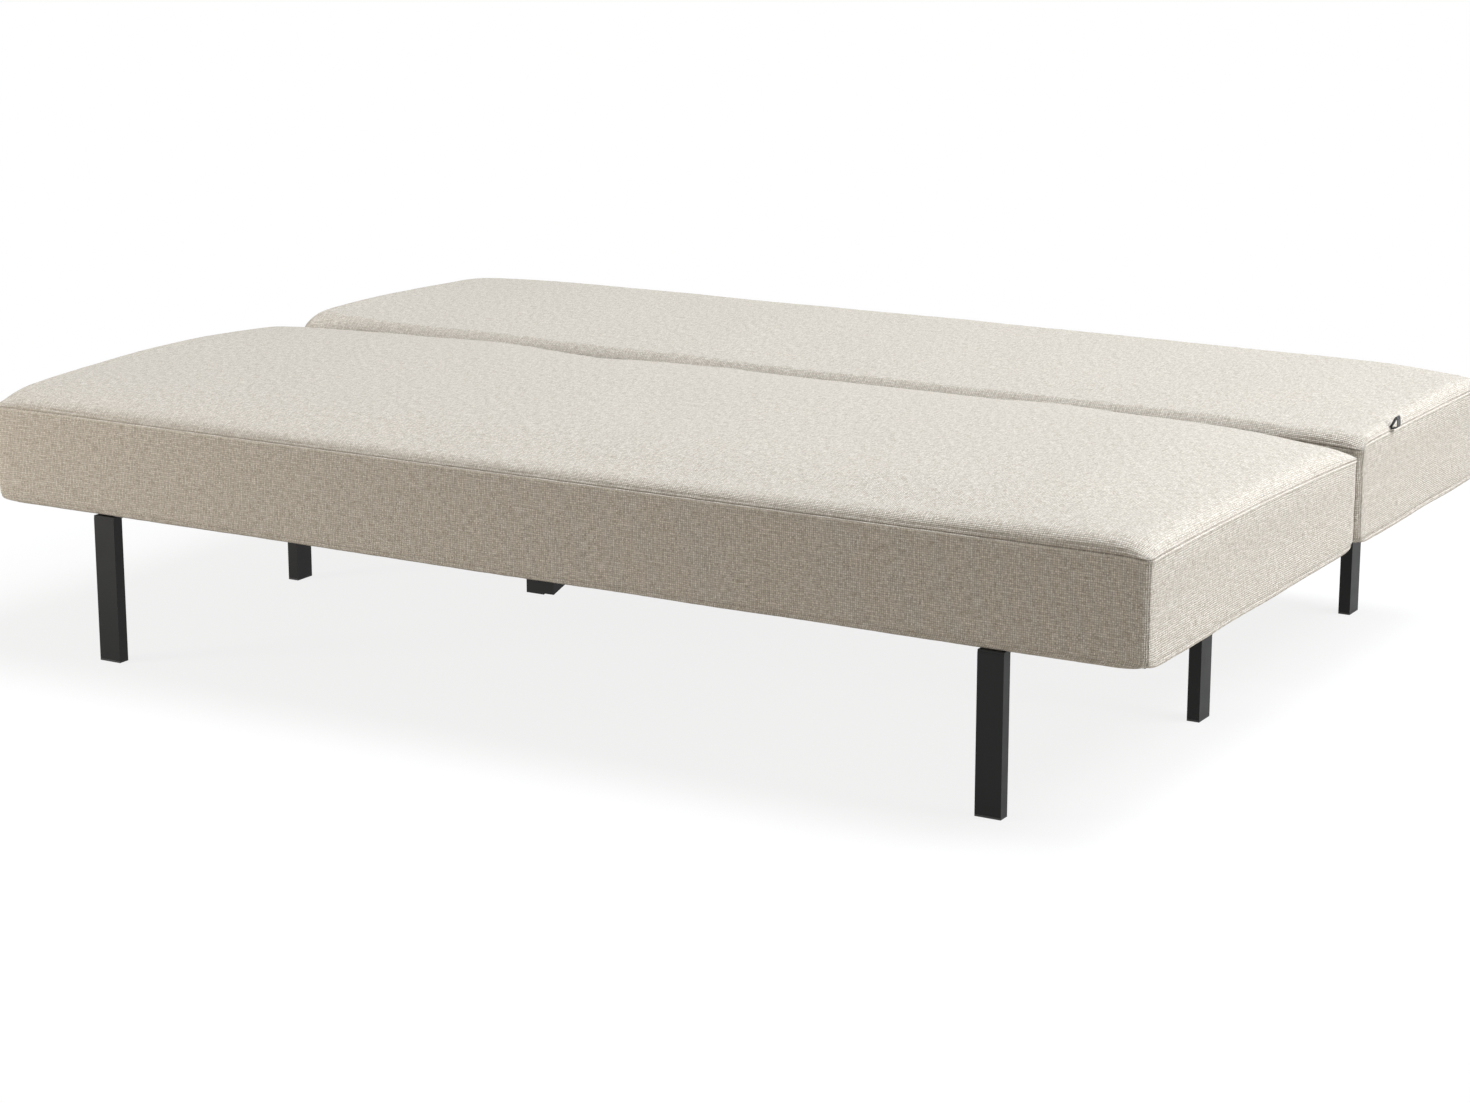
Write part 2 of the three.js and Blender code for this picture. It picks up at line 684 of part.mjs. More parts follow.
function sectorArm(side) {
  const from = pawlAngle - sitAngle - sectorOverlapAngle;
  const to = pawlAngle + sectorOverlapAngle;
  const wedge = [pivot, ...Array.from({ length: circleSegments + 1 }, (_, k) =>
    polar(pivot, sectorRadius, from + ((to - from) * k) / circleSegments))];
  const footFront = backFrameFront - armFootOverhang;
  const tail = hull([
    ...circlePoints(pivot, sectorHubRadius, circleSegments),
    [armFootRear, pivotZ + armTailTop], [armFootRear, pivotZ - sectorHubRadius],
  ]);
  const foot = polygon([
    [footFront, frameTop + touchGap], [armFootRear, frameTop + touchGap],
    [armFootRear, pivotZ], [footFront, pivotZ],
  ]);
  const slab = (shape) => sideSlab(side, shape, armInnerX, armOuterX);
  const body = join(slab(polygon(wedge)), slab(polygon(tail)), slab(foot));
  const bore = pinAlongX(side, pivot, hingePinRadius + hingePinPlay,
    armInnerX - cutOverrun, armOuterX + cutOverrun);
  const teeth = [0, loungeAngle, sitAngle].map((angle) => toothCut(side, pawlAngle - angle));
  return cut(body, bore, ...teeth);
}

// Pawl, drawn in a tooth and then turned out of it by its throw
function pawl(side) {
  const across = radians(pawlAngle + 90);
  const at = (radius, half) => {
    const [y, z] = polar(pivot, radius, pawlAngle);
    return [y + half * Math.cos(across), z + half * Math.sin(across)];
  };
  const tipRadius = sectorRadius - toothDepth + pawlTipClearance;
  const tipHalf = toothRootHalfWidth - pawlTipPlay;
  const rimHalf = toothRimHalfWidth - pawlTipPlay;
  const shoulderRadius = sectorRadius + pawlShoulder;
  const tip = [at(tipRadius, -tipHalf), at(tipRadius, tipHalf),
    at(shoulderRadius + weldOverlap, rimHalf), at(shoulderRadius + weldOverlap, -rimHalf)];
  const arm = hull([
    at(shoulderRadius, -rimHalf), at(shoulderRadius, rimHalf), at(shoulderRadius + pawlBossRadius, -rimHalf),
    ...circlePoints(pawlPivot, pawlBossRadius, circleSegments),
  ]);
  const place = (points) => polygon(points.map((point) => turned(point, pawlPivot, pawlThrowAngle)));
  const slab = (shape) => sideSlab(side, shape, armInnerX, armOuterX);
  const bore = pinAlongX(side, pawlPivot, pawlPinRadius + hingePinPlay,
    armInnerX - cutOverrun, armOuterX + cutOverrun);
  return cut(join(slab(place(tip)), slab(place(arm))), bore);
}

function headedPin(side, centre, radius, headRadius, outerX) {
  const shank = pinAlongX(side, centre, radius, pinInnerX, outerX);
  const innerHead = pinAlongX(side, centre, headRadius, pinInnerX, pinInnerX + pinHeadThickness);
  const outerHead = pinAlongX(side, centre, headRadius, outerX - pinHeadThickness, outerX);
  return join(shank, innerHead, outerHead);
}

// Torsion spring round the pawl's pin, with a leg along the pawl
class SpringPath extends THREE.Curve {
  constructor(side) {
    super();
    this.side = side;
  }
  getPoint(share, target = new THREE.Vector3()) {
    const angle = 2 * Math.PI * springTurns * share;
    return target.set(
      this.side * (springStartX + springLength * share),
      pawlPivot[0] - springCoilRadius * Math.cos(angle),
      pawlPivot[1] + this.side * springCoilRadius * Math.sin(angle));
  }
}

function pawlSpring(side) {
  const section = new THREE.Shape(circlePoints([0, 0], springWireRadius, wireSides)
    .map(([x, y]) => vector(x, y)));
  const coil = new THREE.ExtrudeGeometry(section, {
    steps: springTurns * coilSegmentsPerTurn, bevelEnabled: false, extrudePath: new SpringPath(side),
  });
  return coil;
}

for (const [side, hand] of [[-1, 'left'], [1, 'right']]) {
  addPart(hinges, `hinge_plate_${hand}`, hingePlate(side), zincSteel);
  addPart(hinges, `hinge_pin_${hand}`,
    headedPin(side, pivot, hingePinRadius, pinHeadRadius, armOuterX + pinHeadThickness + touchGap), zincSteel);
  addPart(hinges, `pawl_pin_${hand}`,
    headedPin(side, pawlPivot, pawlPinRadius, pawlPinHeadRadius, pawlPinOuterX), zincSteel);
  addPart(hinges, `sector_arm_${hand}`, sectorArm(side), zincSteel);
  addPart(hinges, `pawl_${hand}`, pawl(side), zincSteel);
  addPart(hinges, `pawl_spring_${hand}`, pawlSpring(side), zincSteel);
}

// Ribbon loop, sewn in above the right side seam of the back cushion
function loopOutline(inset) {
  return Array.from({ length: loopSegments }, (_, k) => {
    const angle = (2 * Math.PI * k) / loopSegments;
    const across = (loopBulge / 2 - inset) * Math.sin(angle) * Math.sin(angle / 2);
    return vector(across, inset + (loopHeight / 2 - inset) * (1 - Math.cos(angle)));
  });
}

function ribbonLoop() {
  const shape = new THREE.Shape(loopOutline(0));
  shape.holes.push(new THREE.Path(loopOutline(ribbonThickness)));
  const geometry = new THREE.ExtrudeGeometry(shape, { depth: loopWidth, bevelEnabled: false });
  const loopRear = loopSetback + loopWidth;
  const surface = seamHeight + crownAt(loopEdgeInset, loopRear, backRear - backFront, backForm.crown);
  return geometry.rotateX(Math.PI / 2).rotateY(radians(loopLean)).translate(
    bedWidth / 2 - loopEdgeInset, backFront + loopRear, surface + touchGap);
}
addPart(back, 'ribbon_loop', ribbonLoop(), ribbon);

export default sofa;
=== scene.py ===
import json
import math

import bpy
import bmesh
import numpy as np
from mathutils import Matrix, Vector


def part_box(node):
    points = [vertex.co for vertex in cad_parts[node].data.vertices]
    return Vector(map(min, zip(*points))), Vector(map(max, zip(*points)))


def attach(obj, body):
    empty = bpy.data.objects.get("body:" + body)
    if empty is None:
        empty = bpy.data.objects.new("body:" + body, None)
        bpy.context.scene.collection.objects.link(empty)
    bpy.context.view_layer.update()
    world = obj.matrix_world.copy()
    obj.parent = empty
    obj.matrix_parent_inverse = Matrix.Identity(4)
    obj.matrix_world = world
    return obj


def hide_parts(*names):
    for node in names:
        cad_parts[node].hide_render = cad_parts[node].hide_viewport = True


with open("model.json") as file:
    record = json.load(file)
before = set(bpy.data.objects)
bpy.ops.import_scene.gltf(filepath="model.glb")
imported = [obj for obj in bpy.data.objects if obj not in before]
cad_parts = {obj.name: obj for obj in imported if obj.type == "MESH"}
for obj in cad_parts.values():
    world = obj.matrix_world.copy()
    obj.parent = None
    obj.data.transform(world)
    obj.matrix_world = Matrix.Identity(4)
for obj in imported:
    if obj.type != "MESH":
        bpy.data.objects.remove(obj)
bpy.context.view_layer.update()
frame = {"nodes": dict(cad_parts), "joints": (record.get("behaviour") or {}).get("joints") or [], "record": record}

# Click clack sofa bed, dressed: two fabric cushions, black steel, beech slats and zinc hinges.
# Metres, +Z up, +X along the width, +Y to the rear, origin on the floor under the middle.
MM = 0.001

# Camera of the photograph
CAMERA_PLACE = (2.645556, -4.596632, 1.450573)
CAMERA_TURN = (75.983, 0.0, 30.221)
CAMERA_LENS = 81.42
SENSOR_WIDTH = 36.0

# Light and backdrop
KEY_PLACE = (6.8, 2.9, 7.4)
KEY_SIZE = 3.6
KEY_POWER = 500.0
KEY_TINT = (0.93, 0.965, 1.0)
OVERHEAD_PLACE = (3.2, 2.2, 9.3)
OVERHEAD_SIZE = 5.0
OVERHEAD_POWER = 900.0
SIDE_PLACE = (4.6, -0.1, 0.9)
SIDE_SIZE = 1.6
SIDE_POWER = 62.0
FILL_PLACE = (-3.0, -3.0, 0.72)
FILL_SIZE = 1.3
FILL_POWER = 76.0
FILL_TINT = (1.0, 0.95, 0.88)
WORLD_FILL = 0.19
WORLD_TINT = (1.0, 0.96, 0.90)
WHITE = 1.0
FLOOR_REACH = 30.0
FLOOR_DROP = 0.4 * MM
FLOOR_BOUNCE = (0.37, 0.335, 0.29)
FLOOR_SEEN = (0.93, 0.93, 0.93)
FLOOR_GLOW_NEAR = 0.84
FLOOR_FADE = (1.3, 2.6)

# Fabric covers
COVER_WALL = 2.1 * MM
SIDE_HEIGHT = 153.5 * MM
END_ROLL = 34 * MM
EDGE_ROLL = 28 * MM
ROLL_RISE = 22 * MM
ROLL_INSETS = [d * MM for d in (0, 0.1, 0.5, 1.6, 3.6, 6.6, 11, 17, 24, 34)]
FRONT_DIP_REACH = 90 * MM
SHOULDER = 2 * MM
SHOULDER_REACH = 14 * MM
SHOULDER_SHARES = (0.55, 0.2, 0.0)
CORNER_SOFTNESS = 0.5
CORNER_REACH = 28 * MM
CORNER_SINK_REACH = (110 * MM, 12 * MM)
END_SINK_REACH = 25 * MM
END_SEAM_REACH = 150 * MM
ROW_DROPS = (1.2 * MM, 2.4 * MM, 3.8 * MM, 6 * MM, 10 * MM)
CELL = 12 * MM
SIDE_CELL = 0.8 * CELL
HEEL_STEPS = 6
HAIR = 0.2 * MM
DOME_SPREAD = 260 * MM
REAR_WAVE_REACH = 70 * MM
HEM_LIP = 3 * MM
CORNER_HEEL = 15 * MM
CORNER_HEEL_REACH = 18 * MM
CORNER_LIFT = 1.5 * MM
CORNER_LIFT_REACH = 20 * MM
SLIT_CLEARANCE = 3 * MM
SLIT_HEIGHT = 149 * MM
SLIT_DEPTH = 40 * MM
SWING_RADIUS = 74 * MM

# Foam under the covers
CORE_INSET = 9 * MM
CORE_SINK = 9 * MM
CORE_RISE = 1.5 * MM
CORE_GAP = 0.3 * MM
CORE_STEP = 0.1 * MM
CORE_CORNER = 20 * MM
CORE_COLUMNS = 81
CORE_ROWS = (4, 30, 7)
POCKET_PLAY = 4 * MM
POCKET_OVERRUN = 10 * MM

# Cloth simulation
CLOTH_FRAMES = 8
CLOTH_PRESSURE = 2.0
CLOTH_GROWTH = 0.03
LOOSE_PLACE = 14 * MM
LOOSE_REACH = 26 * MM
HOLD_MIDDLE = 0.30
HOLD_SEAM = 0.06
HELD_CORNER = 9 * MM
PANEL_REACH = 20 * MM

# Ribbon loop: the path runs out and up from the foot, in millimetres
RIBBON_FOOT = (0.9985, 0.3965)
RIBBON_PATH = [(-4.0, -1.0), (-1.0, 2.5), (2.2, 9.0), (5.0, 15.5), (6.6, 18.6), (8.0, 19.3),
               (9.2, 18.2), (10.0, 14.0), (10.6, 8.0), (10.4, 3.2), (8.6, 1.2), (4.0, 0.9),
               (-3.4, -1.9)]
RIBBON_COLUMNS = 6
RIBBON_SAG = 0.5 * MM
RIBBON_WALL = 0.9 * MM
RIBBON_RIB = 0.7 * MM

# Sewing: a ridge just below each seam and a groove just above it
SEAM_RIDGE = 1.0 * MM
RIDGE_DROP = 1.0 * MM
RIDGE_WIDTH = 1.3 * MM
SEAM_GROOVE = 1.4 * MM
GROOVE_RISE = 1.3 * MM
GROOVE_WIDTH = 1.0 * MM
SEAM_PUCKER = 0.6 * MM
SEAM_PUCKER_REACH = 12 * MM
SLACK_SEAM = 0.5
ALLOWANCE = 9 * MM
ALLOWANCE_DENT = 0.9 * MM
ALLOWANCE_WIDTH = 2.2 * MM
END_REACH = 30 * MM
END_CORNER_REACH = 40 * MM
# Painted shade and painted highlight along the seams are weaker near the cushion ends
END_SHADE_LOSS = 0.6
END_HIGHLIGHT_LOSS = 0.5
# Painted shade in the seam groove, the allowance imprint and the hem stitch
SEAM_SHADE = 0.8
ALLOWANCE_SHADE = 0.25
STITCH_SHADE = 0.35

# Hem stitching, with a bead of fabric under it
HEM_STITCH_RISE = 8 * MM
HEM_STITCH_WIDTH = 1.5 * MM
HEM_GROOVE = 0.9 * MM
HEM_BEAD_DROP = 4 * MM
HEM_BEAD_WIDTH = 2 * MM
HEM_PUCKER_REACH = 8 * MM

# Upright seams at the corners
UPRIGHT_SEAM_SHIFT = 3 * MM
UPRIGHT_REACH = 30 * MM
UPRIGHT_WELT_PLACE = 1.2 * MM
UPRIGHT_WELT_WIDTH = 1.5 * MM
UPRIGHT_GROOVE_PLACE = 1.8 * MM
UPRIGHT_GROOVE_WIDTH = 1.3 * MM
UPRIGHT_UNEVENNESS = 0.9 * MM
UPRIGHT_UNEVEN_REACH = 15 * MM
UPRIGHT_UNEVEN_INSET = 12 * MM
CORNER_VALLEY = 2.5 * MM
CORNER_VALLEY_REACH = 14 * MM
CORNER_VALLEY_INSET = 20 * MM

BROAD_UNEVENNESS = 0.9 * MM
BROAD_REACH = 60 * MM
BROAD_ON_PANEL = 0.4

# Finishes
THREAD_PITCH = 3.2 * MM
YARN_DARK = (0.46, 0.40, 0.33, 1)
YARN_PALE = (0.88, 0.835, 0.765, 1)
# Painted highlight colour for the seam ridges and welts
RIDGE_HIGHLIGHT_TONE = (0.92, 0.87, 0.79, 1)
RIDGE_HIGHLIGHT_TINT = 0.35
# Painted shade colour for the seam grooves and stitching
CREASE_SHADE_TONE = (0.10, 0.085, 0.07, 1)
CREASE_SHADE_TINT = 0.52
EDGE_WIDTHS = {"black_steel": 1.2 * MM, "beech": 2 * MM, "black_plastic": 1.2 * MM}
EDGE_ANGLE = 50


# Meshes
def new_object(name, mesh):
    piece = bpy.data.objects.new(name, mesh)
    bpy.context.scene.collection.objects.link(piece)
    return piece


def smooth_shaded(mesh):
    mesh.polygons.foreach_set("use_smooth", [True] * len(mesh.polygons))
    mesh.update()
    return mesh


def points_of(mesh):
    flat = np.empty(len(mesh.vertices) * 3)
    mesh.vertices.foreach_get("co", flat)
    return flat.reshape(-1, 3)


def set_points(mesh, points):
    mesh.vertices.foreach_set("co", points.ravel())
    mesh.update()


def normals_of(mesh):
    flat = np.empty(len(mesh.vertices) * 3)
    mesh.vertices.foreach_get("normal", flat)
    return flat.reshape(-1, 3)


def values_of(mesh, name, width=1):
    flat = np.empty(len(mesh.vertices) * width)
    mesh.attributes[name].data.foreach_get("value" if width == 1 else "vector", flat)
    return flat if width == 1 else flat.reshape(-1, width)


def store_values(mesh, name, values):
    kind = "FLOAT" if values.ndim == 1 else "FLOAT_VECTOR"
    data = mesh.attributes.new(name, kind, "POINT").data
    data.foreach_set("value" if values.ndim == 1 else "vector", values.ravel())


def bump_at(distance, width):
    return np.exp(-((distance / width) ** 2))


def waves(points, rate, seed, count=24):
    """Smooth noise about -1 to 1: plane waves of about this many cycles a metre, at random."""
    draw = np.random.default_rng(seed)
    total = np.zeros(len(points))
    for _ in range(count):
        way = draw.normal(size=3)
        way *= rate * draw.uniform(0.6, 1.4) / np.linalg.norm(way)
        total += np.sin(2 * math.pi * (points @ way + draw.uniform()))
    return total / math.sqrt(count)


# Cushion covers
def graded_lines(low, high):
    """Grid lines from low to high: close together over the rolled edges, then even cells."""
    span = high - low - 2 * END_ROLL
    count = round(span / CELL)
    middle = [low + END_ROLL + span * k / count for k in range(1, count)]
    near_low, near_high = [low + r for r in ROLL_INSETS], [high - r for r in reversed(ROLL_INSETS)]
    return np.array(near_low + middle + near_high)


def snap_lines(lines, places):
    """Moves the nearest grid line onto each place."""
    for place in places:
        lines[np.abs(lines - place).argmin()] = place
    return lines


def rounded_plan(x, y, form):
    """Bends the corners of a rectangular grid round to their radii."""
    half, front, rear = form["half"], form["front"], form["rear"]
    radius = np.where(y < (front + rear) / 2, form["front_radius"], form["rear_radius"])
    out_x = np.maximum(np.abs(x) - (half - radius), 0) / radius
    out_y = np.maximum(np.maximum(front + radius - y, y - rear + radius), 0) / radius
    bent_x = out_x * np.sqrt(1 - out_y ** 2 / 2) - out_x
    bent_y = out_y * np.sqrt(1 - out_x ** 2 / 2) - out_y
    toward_rear = np.where(y < (front + rear) / 2, -1, 1)
    return x + np.sign(x) * bent_x * radius, y + toward_rear * bent_y * radius


def roll_at(inset, width):
    return np.sqrt(1 - (1 - np.clip(inset / width, 0, 1)) ** 2)


def dome_at(inset):
    return np.sin(math.pi / 2 * np.clip(inset / DOME_SPREAD, 0, 1))


def insets(x, y, form):
    """Distances in from the ends, the front and the rear."""
    return form["half"] - np.abs(x), y - form["front"], form["rear"] - y


def toward_left(x, form):
    """Nothing at the right end and 1 at the left end."""
    return 0.5 - 0.5 * np.clip(x / form["half"], -1, 1)


def depth_share(y, form):
    return np.clip((y - form["front"]) / (form["rear"] - form["front"]), 0, 1)


def seam_rise(x, y, form):
    """How far the side seam runs above its usual height: down to the corners and to the rear."""
    end = np.maximum(form["half"] - np.abs(x), 0)
    share = depth_share(y, form)
    rear_sink = np.where(x < 0, form["rear_sink"][0], form["rear_sink"][1])
    bend = form["seam_lift"] * np.sin(math.pi * share) - rear_sink * share ** 2
    along, around = CORNER_SINK_REACH
    front = np.maximum(y - form["front"], 0)
    corner = form["corner_sink"] * np.exp(-end / along) * bump_at(front, around)
    end_sink = form["end_sink"] * np.exp(-end / END_SINK_REACH)
    return bend * bump_at(end, END_SEAM_REACH) - end_sink - corner


def shoulder_rise(x, y, form):
    """Height of the upright strip between the side seam and the rolled edge."""
    end, front, _ = (np.maximum(d, 0) for d in insets(x, y, form))
    upright = form["front_shoulder"] * toward_left(x, form)
    return SHOULDER + upright * bump_at(front, SHOULDER_REACH) * roll_at(end, END_ROLL)


def crown_rise(x, y, form):
    """Height of a cushion's top above its side seam's usual height."""
    end, front, rear = (np.maximum(d, 0) for d in insets(x, y, form))
    edge = np.minimum(front, rear)
    front_roll = EDGE_ROLL * (1 + form["front_slack"] * toward_left(x, form))
    roll = roll_at(end, END_ROLL) * roll_at(front, front_roll) * roll_at(rear, EDGE_ROLL)
    roll = roll * (1 - CORNER_SOFTNESS * bump_at(np.hypot(end, edge), CORNER_REACH))
    fade = 1 - np.clip(end / DOME_SPREAD, 0, 1)
    bow = np.sin(math.pi * depth_share(y, form) ** form["bow_skew"])
    full = bump_at(end, np.where(x < 0, form["full_reach"][0], form["full_reach"][1]))
    dip = form["front_dip"] * (1 - full) * bump_at(front, FRONT_DIP_REACH)
    rise = seam_rise(x, y, form) + shoulder_rise(x, y, form)
    lift = np.where(x < 0, form["end_lift"][0], form["end_lift"][1])
    rise = rise + (ROLL_RISE - dip + lift * fade ** 2 * bow) * roll
    rise = rise + form["dome_rise"] * dome_at(end) * dome_at(edge)
    for place, height, width in form["rear_waves"]:
        rise = rise + height * bump_at(x - place, width) * bump_at(rear, REAR_WAVE_REACH) * roll
    return rise


def arc_along(lines, low, high, width):
    """Length of cloth up to each grid line, over the rolled edges."""
    rise = ROLL_RISE * roll_at(lines - low, width) * roll_at(high - lines, width)
    return np.concatenate([[0], np.cumsum(np.hypot(np.diff(lines), np.diff(rise)))])


def heel_inset(radius, height):
    inside = np.clip(radius - height, 0, radius)
    return radius - np.sqrt(radius ** 2 - inside ** 2)


def cover_rows(form):
    """Heights of the rings of the side panels, from just below the seam to the underside."""
    low, seam = form["underside"], form["seam"]
    heels = (form["rear_heel"], form["front_heel"])
    rows = list(snap_lines(np.array([seam - d for d in ROW_DROPS]), form["slit_tops"]))
    top, stop = rows[-1], low + max(heels)
    count = max(round((top - stop) / SIDE_CELL), 1)
    rows += [top - (top - stop) * k / count for k in range(1, count + 1)]
    for radius, smaller in ((heels[0], heels[1]), (heels[1], 0)):
        if radius <= smaller:
            continue
        turns = [radius * (1 - math.cos(math.pi / 2 * k / HEEL_STEPS)) for k in range(HEEL_STEPS)]
        rows += [low + t for t in reversed(turns) if smaller - 1e-6 <= t < rows[-1] - low - 1e-6]
    return rows


def ring_at(height, rim, seam_z, lip, form):
    """One ring of the side panels, drawn in over the heels."""
    half, front, rear = form["half"], form["front"], form["rear"]
    above = height - form["underside"]
    near_corner = bump_at(np.minimum(rim[:, 1] - front, rear - rim[:, 1]), CORNER_HEEL_REACH)
    side_heel = form["side_heel"] + (CORNER_HEEL - form["side_heel"]) * near_corner
    in_front = heel_inset(form["front_heel"], above) + lip
    in_rear = heel_inset(form["rear_heel"], above) + lip
    in_side = heel_inset(side_heel, above) + lip
    squeeze = (rear - front - in_front - in_rear) / (rear - front)
    share = (height - form["underside"]) / (form["seam"] - form["underside"])
    ends = bump_at(np.hypot(half - np.abs(rim[:, 0]), rim[:, 1] - front), CORNER_LIFT_REACH)
    lift = CORNER_LIFT * ends * (1 - share) ** 3
    return np.stack([
        rim[:, 0] * (half - in_side) / half,
        front + in_front + (rim[:, 1] - front) * squeeze,
        height + (seam_z - form["seam"]) * share + lift], axis=1)


def cover_mesh(name, form):
    """One skin: a crowned top, side panels, rounded heels and a narrow lip turned in below."""
    half, front, rear = form["half"], form["front"], form["rear"]
    xs = snap_lines(graded_lines(-half, half), form["slit_edges"])
    ys = graded_lines(front, rear)
    nx, ny = len(xs) - 1, len(ys) - 1
    arc_x, arc_y = arc_along(xs, -half, half, END_ROLL), arc_along(ys, front, rear, EDGE_ROLL)
    gx, gy = (g.ravel() for g in np.meshgrid(xs, ys, indexing="ij"))
    plan_x, plan_y = rounded_plan(gx, gy, form)
    top = np.stack([plan_x, plan_y, form["seam"] + crown_rise(gx, gy, form)], axis=1)

    corner = lambda i, j: i * (ny + 1) + j
    rim = [corner(i, 0) for i in range(nx)] + [corner(nx, j) for j in range(ny)]
    rim += [corner(i, ny) for i in range(nx, 0, -1)] + [corner(0, j) for j in range(ny, 0, -1)]
    rim = np.array(rim)
    count = len(rim)
    seam_z = form["seam"] + seam_rise(gx[rim], gy[rim], form)

    rings = []
    for share in SHOULDER_SHARES:
        ring = top[rim].copy()
        ring[:, 2] = seam_z + (top[rim, 2] - seam_z) * share
        rings.append(ring)
    seam_ring = len(rings)
    rows = cover_rows(form)
    heights = [form["seam"]] * (seam_ring + 1) + rows + [form["underside"]] * 2
    for row, height in enumerate(rows + [form["underside"]] * 2):
        lip = max(row + 1 - len(rows), 0) * HEM_LIP / 2
        rings.append(ring_at(height, top[rim], seam_z, lip, form))
    points = np.concatenate([top] + rings)

    faces, coords = [], []
    for i in range(nx):
        for j in range(ny):
            turns = ((i, j), (i + 1, j), (i + 1, j + 1), (i, j + 1))
            faces.append(tuple(corner(a, b) for a, b in turns))
            coords.append([(arc_x[a], arc_y[b]) for a, b in turns])
    around = np.concatenate([[0], np.cumsum(np.linalg.norm(
        np.roll(top[rim], -1, axis=0)[:, :2] - top[rim][:, :2], axis=1))])
    ring_ids = [rim] + [len(top) + k * count + np.arange(count) for k in range(len(rings))]
    drop = np.zeros(count)
    for k in range(len(rings)):
        before = drop
        drop = drop + np.linalg.norm(points[ring_ids[k + 1]] - points[ring_ids[k]], axis=1)
        for i in range(count):
            n = (i + 1) % count
            if in_slit(points[ring_ids[k][i]], points[ring_ids[k + 1][n]], heights[k], form):
                continue
            faces.append((ring_ids[k][i], ring_ids[k + 1][i], ring_ids[k + 1][n], ring_ids[k][n]))
            coords.append([(around[i], -before[i]), (around[i], -drop[i]),
                           (around[i + 1], -drop[n]), (around[i + 1], -before[n])])

    mesh = bpy.data.meshes.new(name)
    mesh.from_pydata(points.tolist(), [], [tuple(int(v) for v in f) for f in faces])
    uv = mesh.uv_layers.new(name="cloth")
    uv.data.foreach_set("uv", np.array(coords, dtype=float).ravel())

    end, *edges = insets(gx, gy, form)
    over_end = np.hypot(ROLL_RISE * roll_at(end, END_ROLL), end)
    over_edge = [np.hypot(ROLL_RISE * roll_at(edge, EDGE_ROLL), edge) for edge in edges]
    from_seam = np.zeros(len(points))
    from_seam[:len(top)] = shoulder_rise(gx, gy, form) + np.minimum.reduce([over_end, *over_edge])
    from_seam[rim] = top[rim, 2] - seam_z
    for ids in ring_ids[1:]:
        from_seam[ids] = points[ids, 2] - seam_z
    store_values(mesh, "from_seam", from_seam)
    store_values(mesh, "rest", points.astype(float))

    goal = np.full(len(points), HOLD_MIDDLE)
    loose = bump_at(np.abs(from_seam) - LOOSE_PLACE, LOOSE_REACH)
    goal -= (HOLD_MIDDLE - HOLD_SEAM) * loose
    goal[ring_ids[seam_ring]] = 1
    for ids in ring_ids[-4:]:
        goal[ids] = 1
    end, *edges = insets(points[:, 0], points[:, 1], form)
    goal[np.hypot(end, np.minimum(*edges)) < HELD_CORNER] = 1
    return mesh, goal, loose


def in_slit(a, b, height, form):
    """True for a face of the front panel or hem that lies inside one of the hinge slits."""
    if not form["slit_edges"] or max(a[1], b[1]) > form["slit_rear"]:
        return False
    middle = (a[0] + b[0]) / 2
    edges = sorted(form["slit_edges"])
    inside = edges[0] < middle < edges[1] or edges[2] < middle < edges[3]
    return inside and height < form["slit_top"] + HAIR


def weigh(piece, name, weights):
    group = piece.vertex_groups.new(name=name)
    for weight in np.unique(np.round(weights, 2)):
        members = np.nonzero(np.round(weights, 2) == weight)[0]
        group.add([int(v) for v in members], float(weight), "REPLACE")


def inflate(piece, goal, loose, form):
    """Lets the cover pucker as cloth: held at the seams, longer than its place beside them."""
    weigh(piece, "held", goal)
    weigh(piece, "loose", loose)
    cloth = piece.modifiers.new("cloth", "CLOTH")
    cloth.settings.quality = 3
    cloth.settings.mass = 0.4
    cloth.settings.tension_stiffness = 25
    cloth.settings.compression_stiffness = 25
    cloth.settings.shear_stiffness = 10
    cloth.settings.bending_stiffness = 1.2
    cloth.settings.use_pressure = True
    cloth.settings.uniform_pressure_force = CLOTH_PRESSURE
    cloth.settings.shrink_min = 0
    cloth.settings.shrink_max = -CLOTH_GROWTH
    cloth.settings.vertex_group_shrink = "loose"
    cloth.settings.vertex_group_mass = "held"
    cloth.settings.effector_weights.gravity = 0
    cloth.collision_settings.use_collision = False
    scene = bpy.context.scene
    cloth.point_cache.frame_start = 1
    cloth.point_cache.frame_end = CLOTH_FRAMES
    for step in range(1, CLOTH_FRAMES + 1):
        scene.frame_set(step)
    shaped = piece.evaluated_get(bpy.context.evaluated_depsgraph_get())
    blown = points_of(shaped.data)
    piece.modifiers.remove(cloth)
    scene.frame_set(1)
    rest = points_of(piece.data)
    move = blown - rest
    length = np.maximum(np.linalg.norm(move, axis=1), 1e-9)
    cap = cap_at(rest, form)
    move = move * (cap * np.tanh(length / cap) / length)[:, None]
    set_points(piece.data, rest + move)


def cap_at(points, form):
    """How far the fabric may swell: less on the two panels that face each other across the gap."""
    top = points[:, 2] > form["seam"] + SHOULDER
    cap = np.where(top, form["top_swell"], form["side_swell"])
    at_front = points[:, 1] < form["front"] + PANEL_REACH
    at_rear = points[:, 1] > form["rear"] - PANEL_REACH
    cap = np.where(~top & at_front, form["front_swell"], cap)
    return np.where(~top & at_rear, form["rear_swell"], cap)


def subdivided(piece):
    modifier = piece.modifiers.new("finer", "SUBSURF")
    modifier.levels = 1
    shaped = piece.evaluated_get(bpy.context.evaluated_depsgraph_get())
    mesh = bpy.data.meshes.new_from_object(shaped)
    piece.modifiers.clear()
    piece.vertex_groups.clear()
    piece.data = mesh


